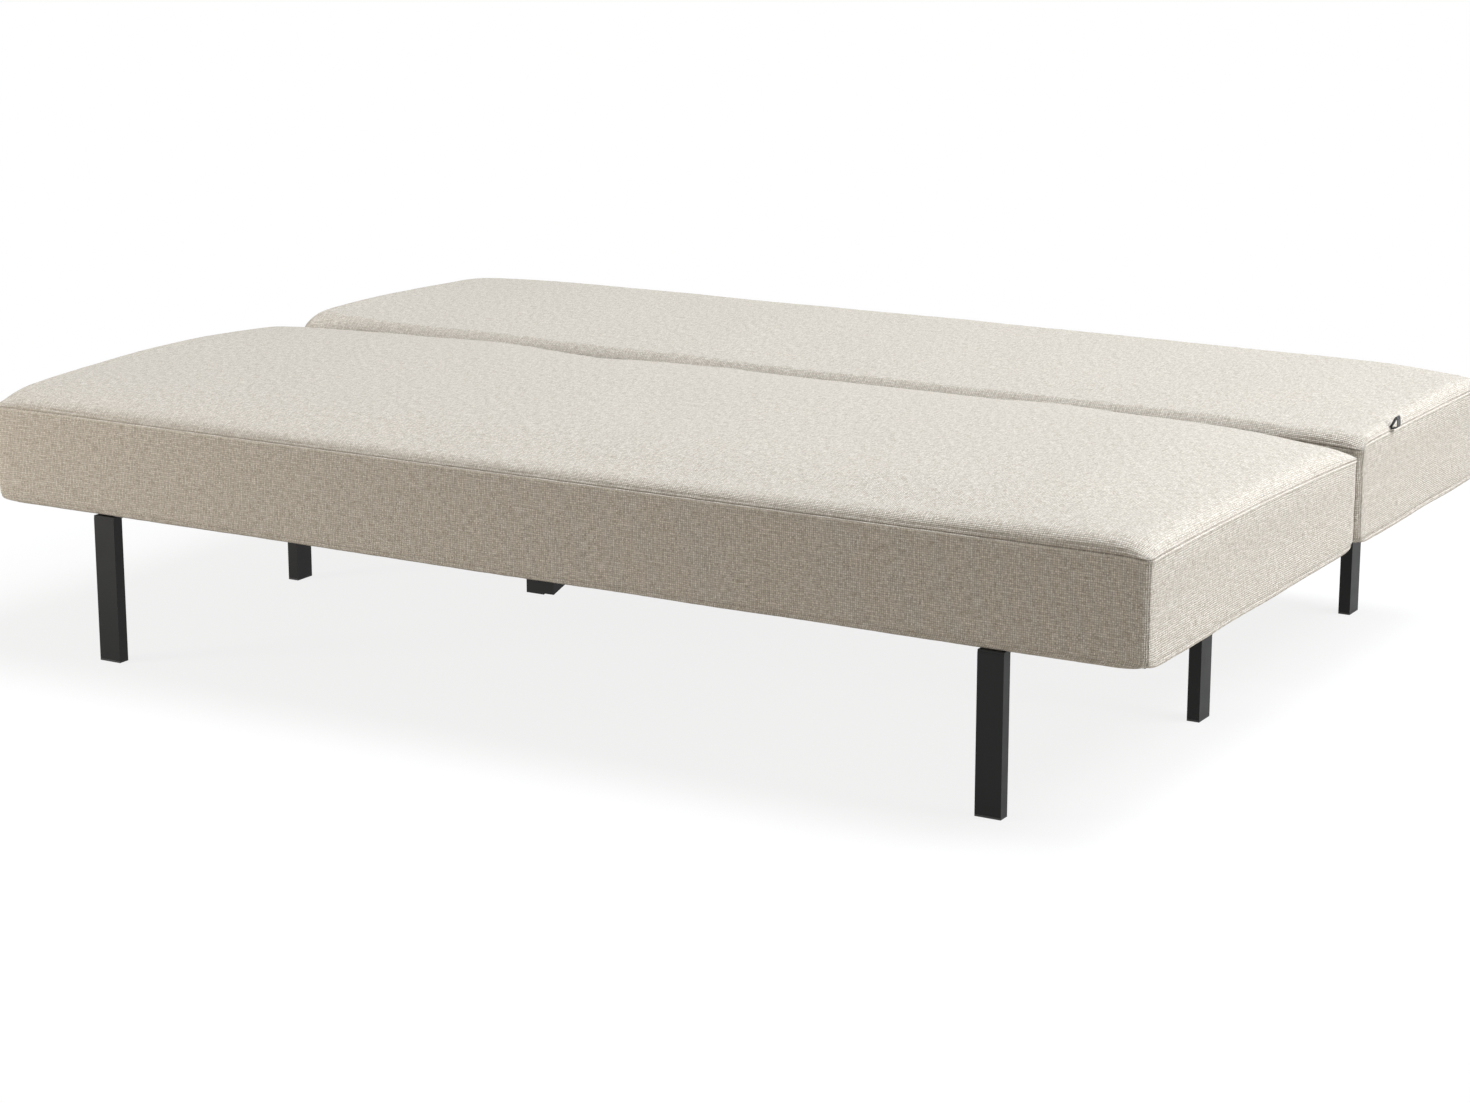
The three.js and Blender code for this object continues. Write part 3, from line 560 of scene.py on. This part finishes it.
def sew(piece, form):
    """Presses the seams, the seam allowance, the hem stitching and the puckers into the cloth, and stores where
    painted shade and a painted highlight go along them.
    """
    mesh = piece.data
    points, normals = points_of(mesh), normals_of(mesh)
    rest, from_seam = values_of(mesh, "rest", 3), values_of(mesh, "from_seam")
    above = np.maximum(from_seam, 0)
    on_panel = from_seam < HAIR
    end, front, rear = insets(rest[:, 0], rest[:, 1], form)

    ridge_highlight = bump_at(from_seam + RIDGE_DROP, RIDGE_WIDTH)
    shift = SEAM_RIDGE * ridge_highlight
    crease_shade = bump_at(from_seam - GROOVE_RISE, GROOVE_WIDTH)
    shift -= SEAM_GROOVE * crease_shade
    wobble = 0.6 + 0.4 * waves(rest, rate=9, seed=31)
    imprint = wobble * bump_at(above - ALLOWANCE, ALLOWANCE_WIDTH)
    shift -= ALLOWANCE_DENT * imprint
    # Painted shade along the seam groove and allowance imprint, fading toward the left on the front seam and
    # weaker at the ends
    slack = form["front_slack"] * SLACK_SEAM * toward_left(rest[:, 0], form)
    front_shade_fade = np.where(front < rear, 1 - slack, 1)
    crease_shade = front_shade_fade * (SEAM_SHADE * crease_shade + ALLOWANCE_SHADE * imprint)
    at_end = bump_at(end, END_REACH) * (1 - bump_at(np.minimum(front, rear), END_CORNER_REACH))
    crease_shade = crease_shade * (1 - END_SHADE_LOSS * at_end)
    # Painted highlight along the seam ridge, weaker at the ends
    ridge_highlight = ridge_highlight * (1 - END_HIGHLIGHT_LOSS * at_end)

    pucker = SEAM_PUCKER * waves(rest, rate=26, seed=77)
    shift += pucker * np.exp(-np.abs(from_seam) / SEAM_PUCKER_REACH)
    from_stitch = rest[:, 2] - form["underside"] - HEM_STITCH_RISE
    stitch = bump_at(from_stitch, HEM_STITCH_WIDTH) * on_panel
    shift -= HEM_GROOVE * stitch
    # Painted shade in the hem stitch groove
    crease_shade = crease_shade + STITCH_SHADE * stitch
    shift += 0.5 * HEM_GROOVE * bump_at(from_stitch + HEM_BEAD_DROP, HEM_BEAD_WIDTH) * on_panel
    shift += 0.5 * pucker * np.exp(-np.abs(from_stitch) / HEM_PUCKER_REACH) * on_panel

    uneven = UPRIGHT_UNEVENNESS * waves(rest * np.array([0.25, 0.25, 1.0]), rate=30, seed=19)
    for edge in (front, rear):
        away = end - edge + UPRIGHT_SEAM_SHIFT
        near = on_panel * (np.minimum(end, edge) < UPRIGHT_UNEVEN_INSET)
        shift += uneven * near * np.exp(-np.abs(away) / UPRIGHT_UNEVEN_REACH)
        near = on_panel * (np.hypot(end, edge) < UPRIGHT_REACH)
        welt = bump_at(away - UPRIGHT_WELT_PLACE, UPRIGHT_WELT_WIDTH) * near
        groove = bump_at(away + UPRIGHT_GROOVE_PLACE, UPRIGHT_GROOVE_WIDTH) * near
        valley = np.exp(-np.abs(away) / CORNER_VALLEY_REACH) * bump_at(edge, CORNER_VALLEY_INSET)
        shift += SEAM_RIDGE * welt - SEAM_GROOVE * groove - CORNER_VALLEY * valley * on_panel
        # Painted highlight on the upright welt and painted shade in its groove
        ridge_highlight = ridge_highlight + welt
        crease_shade = crease_shade + groove

    broad = waves(rest, rate=3.5, seed=110) + 0.5 * waves(rest, rate=9, seed=40)
    room = np.where(on_panel, BROAD_ON_PANEL, 1.0)
    shift += BROAD_UNEVENNESS * broad * room * np.clip(np.abs(from_seam) / BROAD_REACH, 0, 1)
    points = points + normals * shift[:, None]
    set_points(mesh, within_swing(points, form))
    for name in ("rest", "from_seam"):
        mesh.attributes.remove(mesh.attributes[name])
    # Masks for the painted shade and the painted highlight along the seams
    store_values(mesh, "crease_shade", np.clip(crease_shade, 0, 1))
    store_values(mesh, "ridge_highlight", np.clip(ridge_highlight, 0, 1))


def within_swing(points, form):
    """Keeps the cushion that folds inside the circle that clears its neighbour."""
    if not form["swing"]:
        return points
    centre_y, centre_z, radius = form["swing"]
    dy, dz = points[:, 1] - centre_y, points[:, 2] - centre_z
    away = np.hypot(dy, dz)
    over = (dy < 0) & (dz > 0) & (away > radius)
    scale = np.where(over, radius / np.maximum(away, 1e-9), 1)
    moved = points.copy()
    moved[:, 1] = np.where(over, centre_y + dy * scale, moved[:, 1])
    moved[:, 2] = np.where(over, centre_z + dz * scale, moved[:, 2])
    return moved


def add_cover(name, node, body, form, material):
    mesh, goal, loose = cover_mesh(name, form)
    piece = new_object(name, mesh)
    inflate(piece, goal, loose, form)
    subdivided(piece)
    sew(piece, form)
    smooth_shaded(piece.data)
    wall = piece.modifiers.new("wall", "SOLIDIFY")
    wall.thickness = COVER_WALL
    wall.offset = -1
    piece.data.materials.clear()
    piece.data.materials.append(material)
    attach(piece, body)
    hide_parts(node)


# Foam under the covers
def core_bottom(y, form):
    """Underside of the foam: above the frame, and down to the hem before and behind it."""
    if form["frame_front"] - CORE_GAP < y < form["frame_rear"] + CORE_GAP:
        return form["frame_top"] + CORE_GAP
    return form["underside"] + CORE_RISE + heel_inset(form["rear_heel"], form["rear"] - y)


def add_core(name, node, body, form, material):
    half = form["half"] - CORE_INSET
    front, rear = form["front"] + CORE_INSET, form["rear"] - CORE_INSET
    bounds = {**form, "half": half, "front": front, "rear": rear, "front_radius": CORE_CORNER}
    low, high = form["frame_front"] - CORE_GAP, form["frame_rear"] + CORE_GAP
    xs = np.linspace(-half, half, CORE_COLUMNS)
    spans = ((front, low - CORE_STEP), (low + CORE_STEP, high - CORE_STEP),
             (high + CORE_STEP, rear))
    ys = np.concatenate([np.linspace(*span, rows) for span, rows in zip(spans, CORE_ROWS)])
    work = bmesh.new()
    tops, bottoms = [], []
    for x in xs:
        line = [rounded_plan(np.array([x]), np.array([y]), bounds) for y in ys]
        line = [(float(px[0]), float(py[0])) for px, py in line]
        crowns = crown_rise(*np.array(line).T, form)
        tops.append([work.verts.new((px, py, form["seam"] + float(rise) - CORE_SINK))
                     for (px, py), rise in zip(line, crowns)])
        bottoms.append([work.verts.new((px, py, core_bottom(py, form))) for px, py in line])
    nx, ny = len(xs) - 1, len(ys) - 1
    for i in range(nx):
        for j in range(ny):
            work.faces.new((tops[i][j], tops[i + 1][j], tops[i + 1][j + 1], tops[i][j + 1]))
            work.faces.new((bottoms[i][j], bottoms[i][j + 1],
                            bottoms[i + 1][j + 1], bottoms[i + 1][j]))
    for i in range(nx):
        work.faces.new((bottoms[i][0], bottoms[i + 1][0], tops[i + 1][0], tops[i][0]))
        work.faces.new((tops[i][ny], tops[i + 1][ny], bottoms[i + 1][ny], bottoms[i][ny]))
    for j in range(ny):
        work.faces.new((tops[0][j], tops[0][j + 1], bottoms[0][j + 1], bottoms[0][j]))
        work.faces.new((bottoms[nx][j], bottoms[nx][j + 1], tops[nx][j + 1], tops[nx][j]))
    mesh = bpy.data.meshes.new(name)
    work.to_mesh(mesh)
    work.free()
    piece = new_object(name, mesh)
    for low_corner, high_corner in form["pockets"]:
        cut_box(piece, low_corner, high_corner)
    piece.data.materials.clear()
    piece.data.materials.append(material)
    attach(piece, body)
    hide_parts(node)


def cut_box(piece, low, high):
    """Cuts a box out of a piece and keeps the result."""
    mesh = bpy.data.meshes.new("cutter")
    work = bmesh.new()
    bmesh.ops.create_cube(work, size=1)
    for vertex in work.verts:
        vertex.co = [(a + b) / 2 + c * (b - a) for a, b, c in zip(low, high, vertex.co)]
    work.to_mesh(mesh)
    work.free()
    cutter = new_object("cutter", mesh)
    modifier = piece.modifiers.new("pocket", "BOOLEAN")
    modifier.operation = "DIFFERENCE"
    modifier.solver = "EXACT"
    modifier.object = cutter
    shaped = piece.evaluated_get(bpy.context.evaluated_depsgraph_get())
    cut = bpy.data.meshes.new_from_object(shaped)
    piece.modifiers.clear()
    piece.data = cut
    bpy.data.objects.remove(cutter)


# Materials
class Nodes:
    """A small helper that builds one material's node tree."""

    def __init__(self, name):
        self.material = bpy.data.materials.new(name)
        self.material.use_nodes = True
        self.tree = self.material.node_tree
        self.shader = self.tree.nodes["Principled BSDF"]

    def add(self, kind, **settings):
        node = self.tree.nodes.new(kind)
        for key, value in settings.items():
            setattr(node, key, value)
        return node

    def link(self, source, target):
        self.tree.links.new(source, target)

    def math(self, operation, a, b=0.0):
        node = self.add("ShaderNodeMath", operation=operation)
        for socket, value in zip(node.inputs, (a, b)):
            if isinstance(value, (int, float)):
                socket.default_value = value
            else:
                self.link(value, socket)
        return node.outputs[0]

    def mix(self, factor, a, b, blend="MIX"):
        node = self.add("ShaderNodeMix", data_type="RGBA", blend_type=blend)
        for socket, value in ((node.inputs[0], factor), (node.inputs[6], a), (node.inputs[7], b)):
            if isinstance(value, (int, float, tuple)):
                socket.default_value = value
            else:
                self.link(value, socket)
        return node.outputs[2]

    def noise(self, vector, scale, detail=2.0, roughness=0.5):
        node = self.add("ShaderNodeTexNoise")
        node.inputs["Scale"].default_value = scale
        node.inputs["Detail"].default_value = detail
        node.inputs["Roughness"].default_value = roughness
        self.link(vector, node.inputs["Vector"])
        return node.outputs["Fac"]

    def bump(self, height, distance, strength=1.0):
        node = self.add("ShaderNodeBump")
        node.inputs["Distance"].default_value = distance
        node.inputs["Strength"].default_value = strength
        self.link(height, node.inputs["Height"])
        return node.outputs["Normal"]

    def place(self):
        return self.add("ShaderNodeTexCoord").outputs["Object"]

    def axis(self, vector, index):
        node = self.add("ShaderNodeSeparateXYZ")
        self.link(vector, node.inputs[0])
        return node.outputs[index]

    def sine(self, value, frequency):
        return self.math("SINE", self.math("MULTIPLY", value, frequency))

    def ramp(self, factor, low, low_color, high, high_color):
        node = self.add("ShaderNodeValToRGB")
        first, last = node.color_ramp.elements
        first.position, first.color = low, low_color
        last.position, last.color = high, high_color
        self.link(factor, node.inputs[0])
        return node.outputs[0]

    def stretched(self, vector, scale):
        node = self.add("ShaderNodeMapping")
        node.inputs["Scale"].default_value = scale
        self.link(vector, node.inputs["Vector"])
        return node.outputs["Vector"]

    def set(self, values):
        for name, value in values.items():
            self.shader.inputs[name].default_value = value


def woven_fabric():
    """Plain weave of melange yarns on the cloth's own coordinates, with painted shade in the thread gaps and seam
    creases and a painted highlight on the seam ridges.
    """
    n = Nodes("woven_fabric")
    cloth = n.add("ShaderNodeUVMap", uv_map="cloth").outputs["UV"]
    slack = n.math("MULTIPLY", n.math("SUBTRACT", n.noise(cloth, 40, 2), 0.5), 2.5 * MM)
    rate = math.pi / THREAD_PITCH
    warp_wave = n.sine(n.math("ADD", n.axis(cloth, 0), slack), rate)
    weft_wave = n.sine(n.math("ADD", n.axis(cloth, 1), slack), rate)
    over = n.math("MULTIPLY", warp_wave, weft_wave)
    over = n.math("ADD", n.math("MULTIPLY", over, 2.2), 0.5)
    over = n.math("MINIMUM", n.math("MAXIMUM", over, 0.0), 1.0)
    under = n.math("SUBTRACT", 1.0, over)
    warp_high, weft_high = n.math("ABSOLUTE", warp_wave), n.math("ABSOLUTE", weft_wave)
    arch = n.math("MULTIPLY", warp_high, weft_high)
    warp_over = n.math("MULTIPLY", warp_high, over)
    weft_over = n.math("MULTIPLY", weft_high, under)
    height = n.math("MULTIPLY", n.math("ADD", warp_over, weft_over), 0.5)
    height = n.math("ADD", height, n.math("MULTIPLY", arch, 0.5))

    along_warp = n.noise(n.stretched(cloth, (1 / THREAD_PITCH, 70, 1)), 1.0, 2, 0.7)
    along_weft = n.noise(n.stretched(cloth, (70, 1 / THREAD_PITCH, 1)), 1.0, 2, 0.7)
    warp_yarn = n.math("MULTIPLY", along_warp, over)
    weft_yarn = n.math("MULTIPLY", along_weft, under)
    yarn = n.math("ADD", warp_yarn, weft_yarn)
    fleck = n.math("MULTIPLY", n.noise(cloth, 700, 2), 0.2)
    tone = n.math("ADD", n.math("MULTIPLY", yarn, 0.8), fleck)
    colour = n.ramp(tone, 0.34, YARN_DARK, 0.62, YARN_PALE)
    warm = n.mix(n.noise(cloth, 7, 3), (0.97, 0.972, 0.975, 1), (1.0, 0.99, 0.98, 1))
    colour = n.mix(1.0, colour, warm, "MULTIPLY")
    # Painted shade in the gaps between the threads
    gap_shade = n.math("ADD", n.math("MULTIPLY", height, 0.45), 0.62)
    shade = n.add("ShaderNodeCombineColor")
    for socket in shade.inputs:
        n.link(gap_shade, socket)
    colour = n.mix(1.0, colour, shade.outputs[0], "MULTIPLY")
    crease_shade = n.add("ShaderNodeAttribute", attribute_name="crease_shade").outputs["Fac"]
    ridge_highlight = n.add("ShaderNodeAttribute", attribute_name="ridge_highlight").outputs["Fac"]
    # Painted highlight on the seam ridges and welts
    colour = n.mix(n.math("MULTIPLY", ridge_highlight, RIDGE_HIGHLIGHT_TINT), colour, RIDGE_HIGHLIGHT_TONE)
    # Painted shade in the seam grooves and stitching
    colour = n.mix(n.math("MULTIPLY", crease_shade, CREASE_SHADE_TINT), colour, CREASE_SHADE_TONE)
    n.link(colour, n.shader.inputs["Base Color"])
    relief = n.math("ADD", height, n.math("MULTIPLY", yarn, 0.5))
    n.link(n.bump(relief, 0.8 * MM, 1.0), n.shader.inputs["Normal"])
    n.set({"Roughness": 0.92, "Sheen Weight": 0.1, "Sheen Roughness": 0.5,
           "Specular IOR Level": 0.2})
    return n.material


def foam():
    n = Nodes("foam")
    place = n.place()
    cells = n.add("ShaderNodeTexVoronoi")
    cells.inputs["Scale"].default_value = 700
    n.link(place, cells.inputs["Vector"])
    tone = n.mix(n.noise(place, 6, 3), (0.80, 0.74, 0.58, 1), (0.86, 0.82, 0.68, 1))
    n.link(tone, n.shader.inputs["Base Color"])
    n.link(n.bump(cells.outputs["Distance"], 0.6 * MM, 0.7), n.shader.inputs["Normal"])
    n.set({"Roughness": 0.95, "Specular IOR Level": 0.2})
    return n.material


def black_steel():
    n = Nodes("black_steel")
    place = n.place()
    tone = n.mix(n.noise(place, 5, 3), (0.005, 0.0055, 0.0055, 1), (0.008, 0.0085, 0.0085, 1))
    n.link(tone, n.shader.inputs["Base Color"])
    rough = n.math("ADD", n.math("MULTIPLY", n.noise(place, 35, 3), 0.14), 0.33)
    n.link(rough, n.shader.inputs["Roughness"])
    n.link(n.bump(n.noise(place, 1400, 1), 0.05 * MM, 0.6), n.shader.inputs["Normal"])
    n.set({"Specular IOR Level": 0.22})
    return n.material


def zinc_steel():
    n = Nodes("zinc_steel")
    place = n.place()
    tone = n.mix(n.noise(place, 60, 4), (0.23, 0.24, 0.25, 1), (0.32, 0.32, 0.31, 1))
    n.link(tone, n.shader.inputs["Base Color"])
    lines = n.noise(n.stretched(place, (40, 40, 1500)), 1.0, 3)
    rough = n.math("ADD", n.math("MULTIPLY", lines, 0.2), 0.58)
    n.link(rough, n.shader.inputs["Roughness"])
    n.link(n.bump(lines, 0.04 * MM, 0.5), n.shader.inputs["Normal"])
    n.set({"Metallic": 1.0})
    return n.material


def beech():
    n = Nodes("beech")
    place = n.place()
    grain = n.noise(n.stretched(place, (160, 5, 160)), 1.0, 5, 0.6)
    flecks = n.noise(n.stretched(place, (700, 60, 700)), 1.0, 1)
    colour = n.ramp(grain, 0.35, (0.46, 0.27, 0.13, 1), 0.68, (0.66, 0.44, 0.25, 1))
    colour = n.mix(n.math("MULTIPLY", flecks, 0.35), colour, (0.38, 0.21, 0.10, 1))
    n.link(colour, n.shader.inputs["Base Color"])
    n.link(n.bump(grain, 0.1 * MM, 0.5), n.shader.inputs["Normal"])
    n.set({"Roughness": 0.42})
    return n.material


def black_plastic():
    n = Nodes("black_plastic")
    place = n.place()
    tone = n.mix(n.noise(place, 20, 2), (0.012, 0.012, 0.012, 1), (0.02, 0.02, 0.02, 1))
    n.link(tone, n.shader.inputs["Base Color"])
    n.link(n.bump(n.noise(place, 2200, 2), 0.06 * MM, 0.8), n.shader.inputs["Normal"])
    n.set({"Roughness": 0.55})
    return n.material


def black_ribbon():
    n = Nodes("black_ribbon")
    place = n.place()
    ribs = n.sine(n.axis(place, 1), 2 * math.pi / RIBBON_RIB)
    tone = n.mix(n.noise(place, 300, 2), (0.012, 0.012, 0.013, 1), (0.028, 0.028, 0.03, 1))
    n.link(tone, n.shader.inputs["Base Color"])
    n.link(n.bump(ribs, 0.08 * MM, 0.8), n.shader.inputs["Normal"])
    n.set({"Roughness": 0.6, "Sheen Weight": 0.2})
    return n.material


# Stage, light and camera
def camera_share(tree):
    """1 for what the camera sees itself or in gloss and glass, 0 for light on the object."""
    path = tree.nodes.new("ShaderNodeLightPath")
    total = path.outputs["Is Camera Ray"]
    for name in ("Is Glossy Ray", "Is Transmission Ray"):
        add = tree.nodes.new("ShaderNodeMath")
        add.operation = "MAXIMUM"
        tree.links.new(total, add.inputs[0])
        tree.links.new(path.outputs[name], add.inputs[1])
        total = add.outputs[0]
    return total


def add_world():
    world = bpy.data.worlds.new("studio")
    bpy.context.scene.world = world
    world.use_nodes = True
    tree = world.node_tree
    background = tree.nodes["Background"]
    seen = camera_share(tree)
    tint = tree.nodes.new("ShaderNodeMix")
    tint.data_type = "RGBA"
    tint.inputs[6].default_value = (*WORLD_TINT, 1)
    tint.inputs[7].default_value = (1, 1, 1, 1)
    tree.links.new(seen, tint.inputs[0])
    tree.links.new(tint.outputs[2], background.inputs["Color"])
    level = tree.nodes.new("ShaderNodeMapRange")
    level.inputs["To Min"].default_value = WORLD_FILL
    level.inputs["To Max"].default_value = WHITE
    tree.links.new(seen, level.inputs["Value"])
    tree.links.new(level.outputs["Result"], background.inputs["Strength"])


def floor_material():
    n = Nodes("pale_floor")
    seen = camera_share(n.tree)
    n.set({"Roughness": 0.9, "Specular IOR Level": 0.0})
    n.link(n.mix(seen, (*FLOOR_BOUNCE, 1), (*FLOOR_SEEN, 1)), n.shader.inputs["Base Color"])
    glow = n.add("ShaderNodeEmission")
    glow.inputs["Color"].default_value = (1, 1, 1, 1)
    away = n.add("ShaderNodeVectorMath", operation="LENGTH")
    n.link(n.place(), away.inputs[0])
    share = n.add("ShaderNodeMapRange", interpolation_type="SMOOTHSTEP")
    for name, value in (("From Min", FLOOR_FADE[0]), ("From Max", FLOOR_FADE[1]),
                        ("To Min", FLOOR_GLOW_NEAR), ("To Max", 1.0)):
        share.inputs[name].default_value = value
    n.link(away.outputs["Value"], share.inputs["Value"])
    mixed = n.add("ShaderNodeMixShader")
    n.link(n.math("MULTIPLY", seen, share.outputs["Result"]), mixed.inputs[0])
    n.link(n.shader.outputs[0], mixed.inputs[1])
    n.link(glow.outputs[0], mixed.inputs[2])
    n.link(mixed.outputs[0], n.tree.nodes["Material Output"].inputs["Surface"])
    return n.material


def add_floor():
    mesh = bpy.data.meshes.new("floor")
    reach = FLOOR_REACH
    corners = [(-reach, -reach), (reach, -reach), (reach, reach), (-reach, reach)]
    mesh.from_pydata([(x, y, -FLOOR_DROP) for x, y in corners], [], [(0, 1, 2, 3)])
    floor = new_object("floor", mesh)
    floor.data.materials.append(floor_material())


def add_lamp(name, place, size, power, tint, aim=(0, 0, 0.35)):
    data = bpy.data.lights.new(name, "AREA")
    data.shape = "DISK"
    data.size = size
    data.energy = power
    data.color = tint
    lamp = bpy.data.objects.new(name, data)
    lamp.location = place
    lamp.rotation_mode = "QUATERNION"
    lamp.rotation_quaternion = (Vector(aim) - Vector(place)).to_track_quat("-Z", "Y")
    bpy.context.scene.collection.objects.link(lamp)


def add_camera():
    data = bpy.data.cameras.new("camera")
    data.sensor_width = SENSOR_WIDTH
    data.lens = CAMERA_LENS
    camera = bpy.data.objects.new("camera", data)
    camera.location = CAMERA_PLACE
    camera.rotation_euler = [math.radians(a) for a in CAMERA_TURN]
    bpy.context.scene.collection.objects.link(camera)
    bpy.context.scene.camera = camera


def add_ribbon_loop(material):
    """A folded tape that comes out of the side seam and stands up in a narrow loop."""
    low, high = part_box("ribbon_loop")
    mesh = bpy.data.meshes.new("ribbon_tape")
    columns = RIBBON_COLUMNS
    points, faces = [], []
    for k, (out, up) in enumerate(RIBBON_PATH):
        for c in range(columns + 1):
            share = c / columns
            sag = RIBBON_SAG * math.sin(math.pi * share) * (k / len(RIBBON_PATH) - 0.5)
            points.append((RIBBON_FOOT[0] + out * MM + sag, low.y + (high.y - low.y) * share,
                           RIBBON_FOOT[1] + up * MM + sag))
    for k in range(len(RIBBON_PATH) - 1):
        for c in range(columns):
            a = k * (columns + 1) + c
            faces.append((a, a + 1, a + columns + 2, a + columns + 1))
    mesh.from_pydata(points, [], faces)
    tape = new_object("ribbon_tape", smooth_shaded(mesh))
    finer = tape.modifiers.new("finer", "SUBSURF")
    finer.levels = finer.render_levels = 2
    wall = tape.modifiers.new("wall", "SOLIDIFY")
    wall.thickness = RIBBON_WALL
    wall.offset = 0
    tape.data.materials.append(material)
    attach(tape, "back")
    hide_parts("ribbon_loop")


def cushion_forms():
    """Sizes of the two cushions, read from the frame. Pairs are for the left and right ends."""
    seat_low, seat_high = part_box("seat_cover")
    back_low, back_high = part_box("back_cover")
    seat_front, seat_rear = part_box("seat_frame_front")[0].y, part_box("seat_frame_rear")[1].y
    back_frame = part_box("back_frame_front")
    slit_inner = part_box("hinge_pin_right")[0].x - SLIT_CLEARANCE
    slit_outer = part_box("pawl_pin_right")[1].x + SLIT_CLEARANCE
    hinge = next(j for j in frame["joints"] if j["name"] == "back_hinge")
    slit_top = back_low.z + SLIT_HEIGHT
    pocket_front, pocket_low = back_low.y - POCKET_OVERRUN, back_low.z - POCKET_OVERRUN
    pocket_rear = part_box("sector_arm_right")[1].y + POCKET_PLAY
    pockets = [((left, pocket_front, pocket_low), (right, pocket_rear, slit_top))
               for left, right in ((-slit_outer, -slit_inner), (slit_inner, slit_outer))]
    shared = {
        "half": seat_high.x, "underside": seat_low.z, "seam": seat_low.z + SIDE_HEIGHT,
        "front_radius": 12 * MM, "front_heel": 6 * MM, "side_heel": 2 * MM,
        "top_swell": 4 * MM, "side_swell": 3 * MM, "frame_top": back_frame[1].z,
    }
    seat = {
        **shared, "front": seat_low.y, "rear": seat_high.y,
        "rear_heel": 22 * MM, "rear_radius": 14 * MM,
        "dome_rise": 13 * MM, "end_lift": (15 * MM, -8 * MM), "bow_skew": 1.0,
        "seam_lift": 3 * MM, "end_sink": 3.5 * MM, "rear_sink": (5 * MM, 13 * MM),
        "corner_sink": 0.0, "front_shoulder": 0.0, "front_slack": 1.6,
        "front_dip": 9 * MM, "full_reach": (420 * MM, 300 * MM),
        "rear_waves": [(0, -9 * MM, 9), (-0.97, -3 * MM, 0.12), (-0.56, 5 * MM, 0.10),
                       (-0.347, -4 * MM, 0.07), (-0.09, 4 * MM, 0.12), (0.26, 2 * MM, 0.14),
                       (0.51, 6 * MM, 0.08), (0.96, -2.5 * MM, 0.10)],
        "front_swell": 3 * MM, "rear_swell": 0.6 * MM,
        "slit_edges": [], "slit_tops": [], "swing": None, "pockets": [],
        "frame_front": seat_front, "frame_rear": seat_rear,
    }
    back = {
        **shared, "front": back_low.y, "rear": back_high.y,
        "rear_heel": 12 * MM, "rear_radius": 20 * MM,
        "dome_rise": 4 * MM, "end_lift": (11 * MM, -6 * MM), "bow_skew": 0.5,
        "seam_lift": 0.0, "end_sink": -1.5 * MM, "rear_sink": (6 * MM, 6 * MM),
        "corner_sink": 9 * MM, "front_shoulder": 5 * MM, "front_slack": 0.0,
        "front_dip": 4 * MM, "full_reach": (700 * MM, 20 * MM),
        "rear_waves": [(0, -4 * MM, 9), (0.04, 2 * MM, 0.2), (0.97, -5 * MM, 0.08)],
        "front_swell": 0.6 * MM, "rear_swell": 3 * MM,
        "slit_edges": [-slit_outer, -slit_inner, slit_inner, slit_outer],
        "slit_top": slit_top, "slit_tops": [slit_top], "slit_rear": back_low.y + SLIT_DEPTH,
        "swing": (hinge["pos_m"][1], hinge["pos_m"][2], SWING_RADIUS), "pockets": pockets,
        "frame_front": back_frame[0].y, "frame_rear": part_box("back_frame_rear")[1].y,
    }
    return seat, back


def finish_nodes(materials):
    """Gives every shown CAD node its procedural finish and a small worn edge."""
    slots = {s["node"]: s["material_slot"] for s in frame["record"]["subparts"]}
    for name, node in frame["nodes"].items():
        if node.hide_render:
            continue
        node.data.materials.clear()
        node.data.materials.append(materials[slots[name]])
        if slots[name] in EDGE_WIDTHS:
            edge = node.modifiers.new("edge", "BEVEL")
            edge.width = EDGE_WIDTHS[slots[name]]
            edge.segments = 2
            edge.limit_method = "ANGLE"
            edge.angle_limit = math.radians(EDGE_ANGLE)


bpy.context.scene.view_settings.view_transform = "Standard"
add_camera()
add_world()
add_floor()
add_lamp("key", KEY_PLACE, KEY_SIZE, KEY_POWER, KEY_TINT)
add_lamp("overhead", OVERHEAD_PLACE, OVERHEAD_SIZE, OVERHEAD_POWER, KEY_TINT)
add_lamp("side", SIDE_PLACE, SIDE_SIZE, SIDE_POWER, KEY_TINT)
add_lamp("fill", FILL_PLACE, FILL_SIZE, FILL_POWER, FILL_TINT)
finishes = {
    "woven_fabric": woven_fabric(), "foam": foam(), "beech": beech(), "black_steel": black_steel(),
    "zinc_steel": zinc_steel(), "black_plastic": black_plastic(), "black_ribbon": black_ribbon(),
}
seat_form, back_form = cushion_forms()
add_cover("seat_cushion", "seat_cover", "base", seat_form, finishes["woven_fabric"])
add_cover("back_cushion", "back_cover", "back", back_form, finishes["woven_fabric"])
add_core("seat_core", "seat_foam", "base", seat_form, finishes["foam"])
add_core("back_core", "back_foam", "back", back_form, finishes["foam"])
add_ribbon_loop(finishes["black_ribbon"])
finish_nodes(finishes)
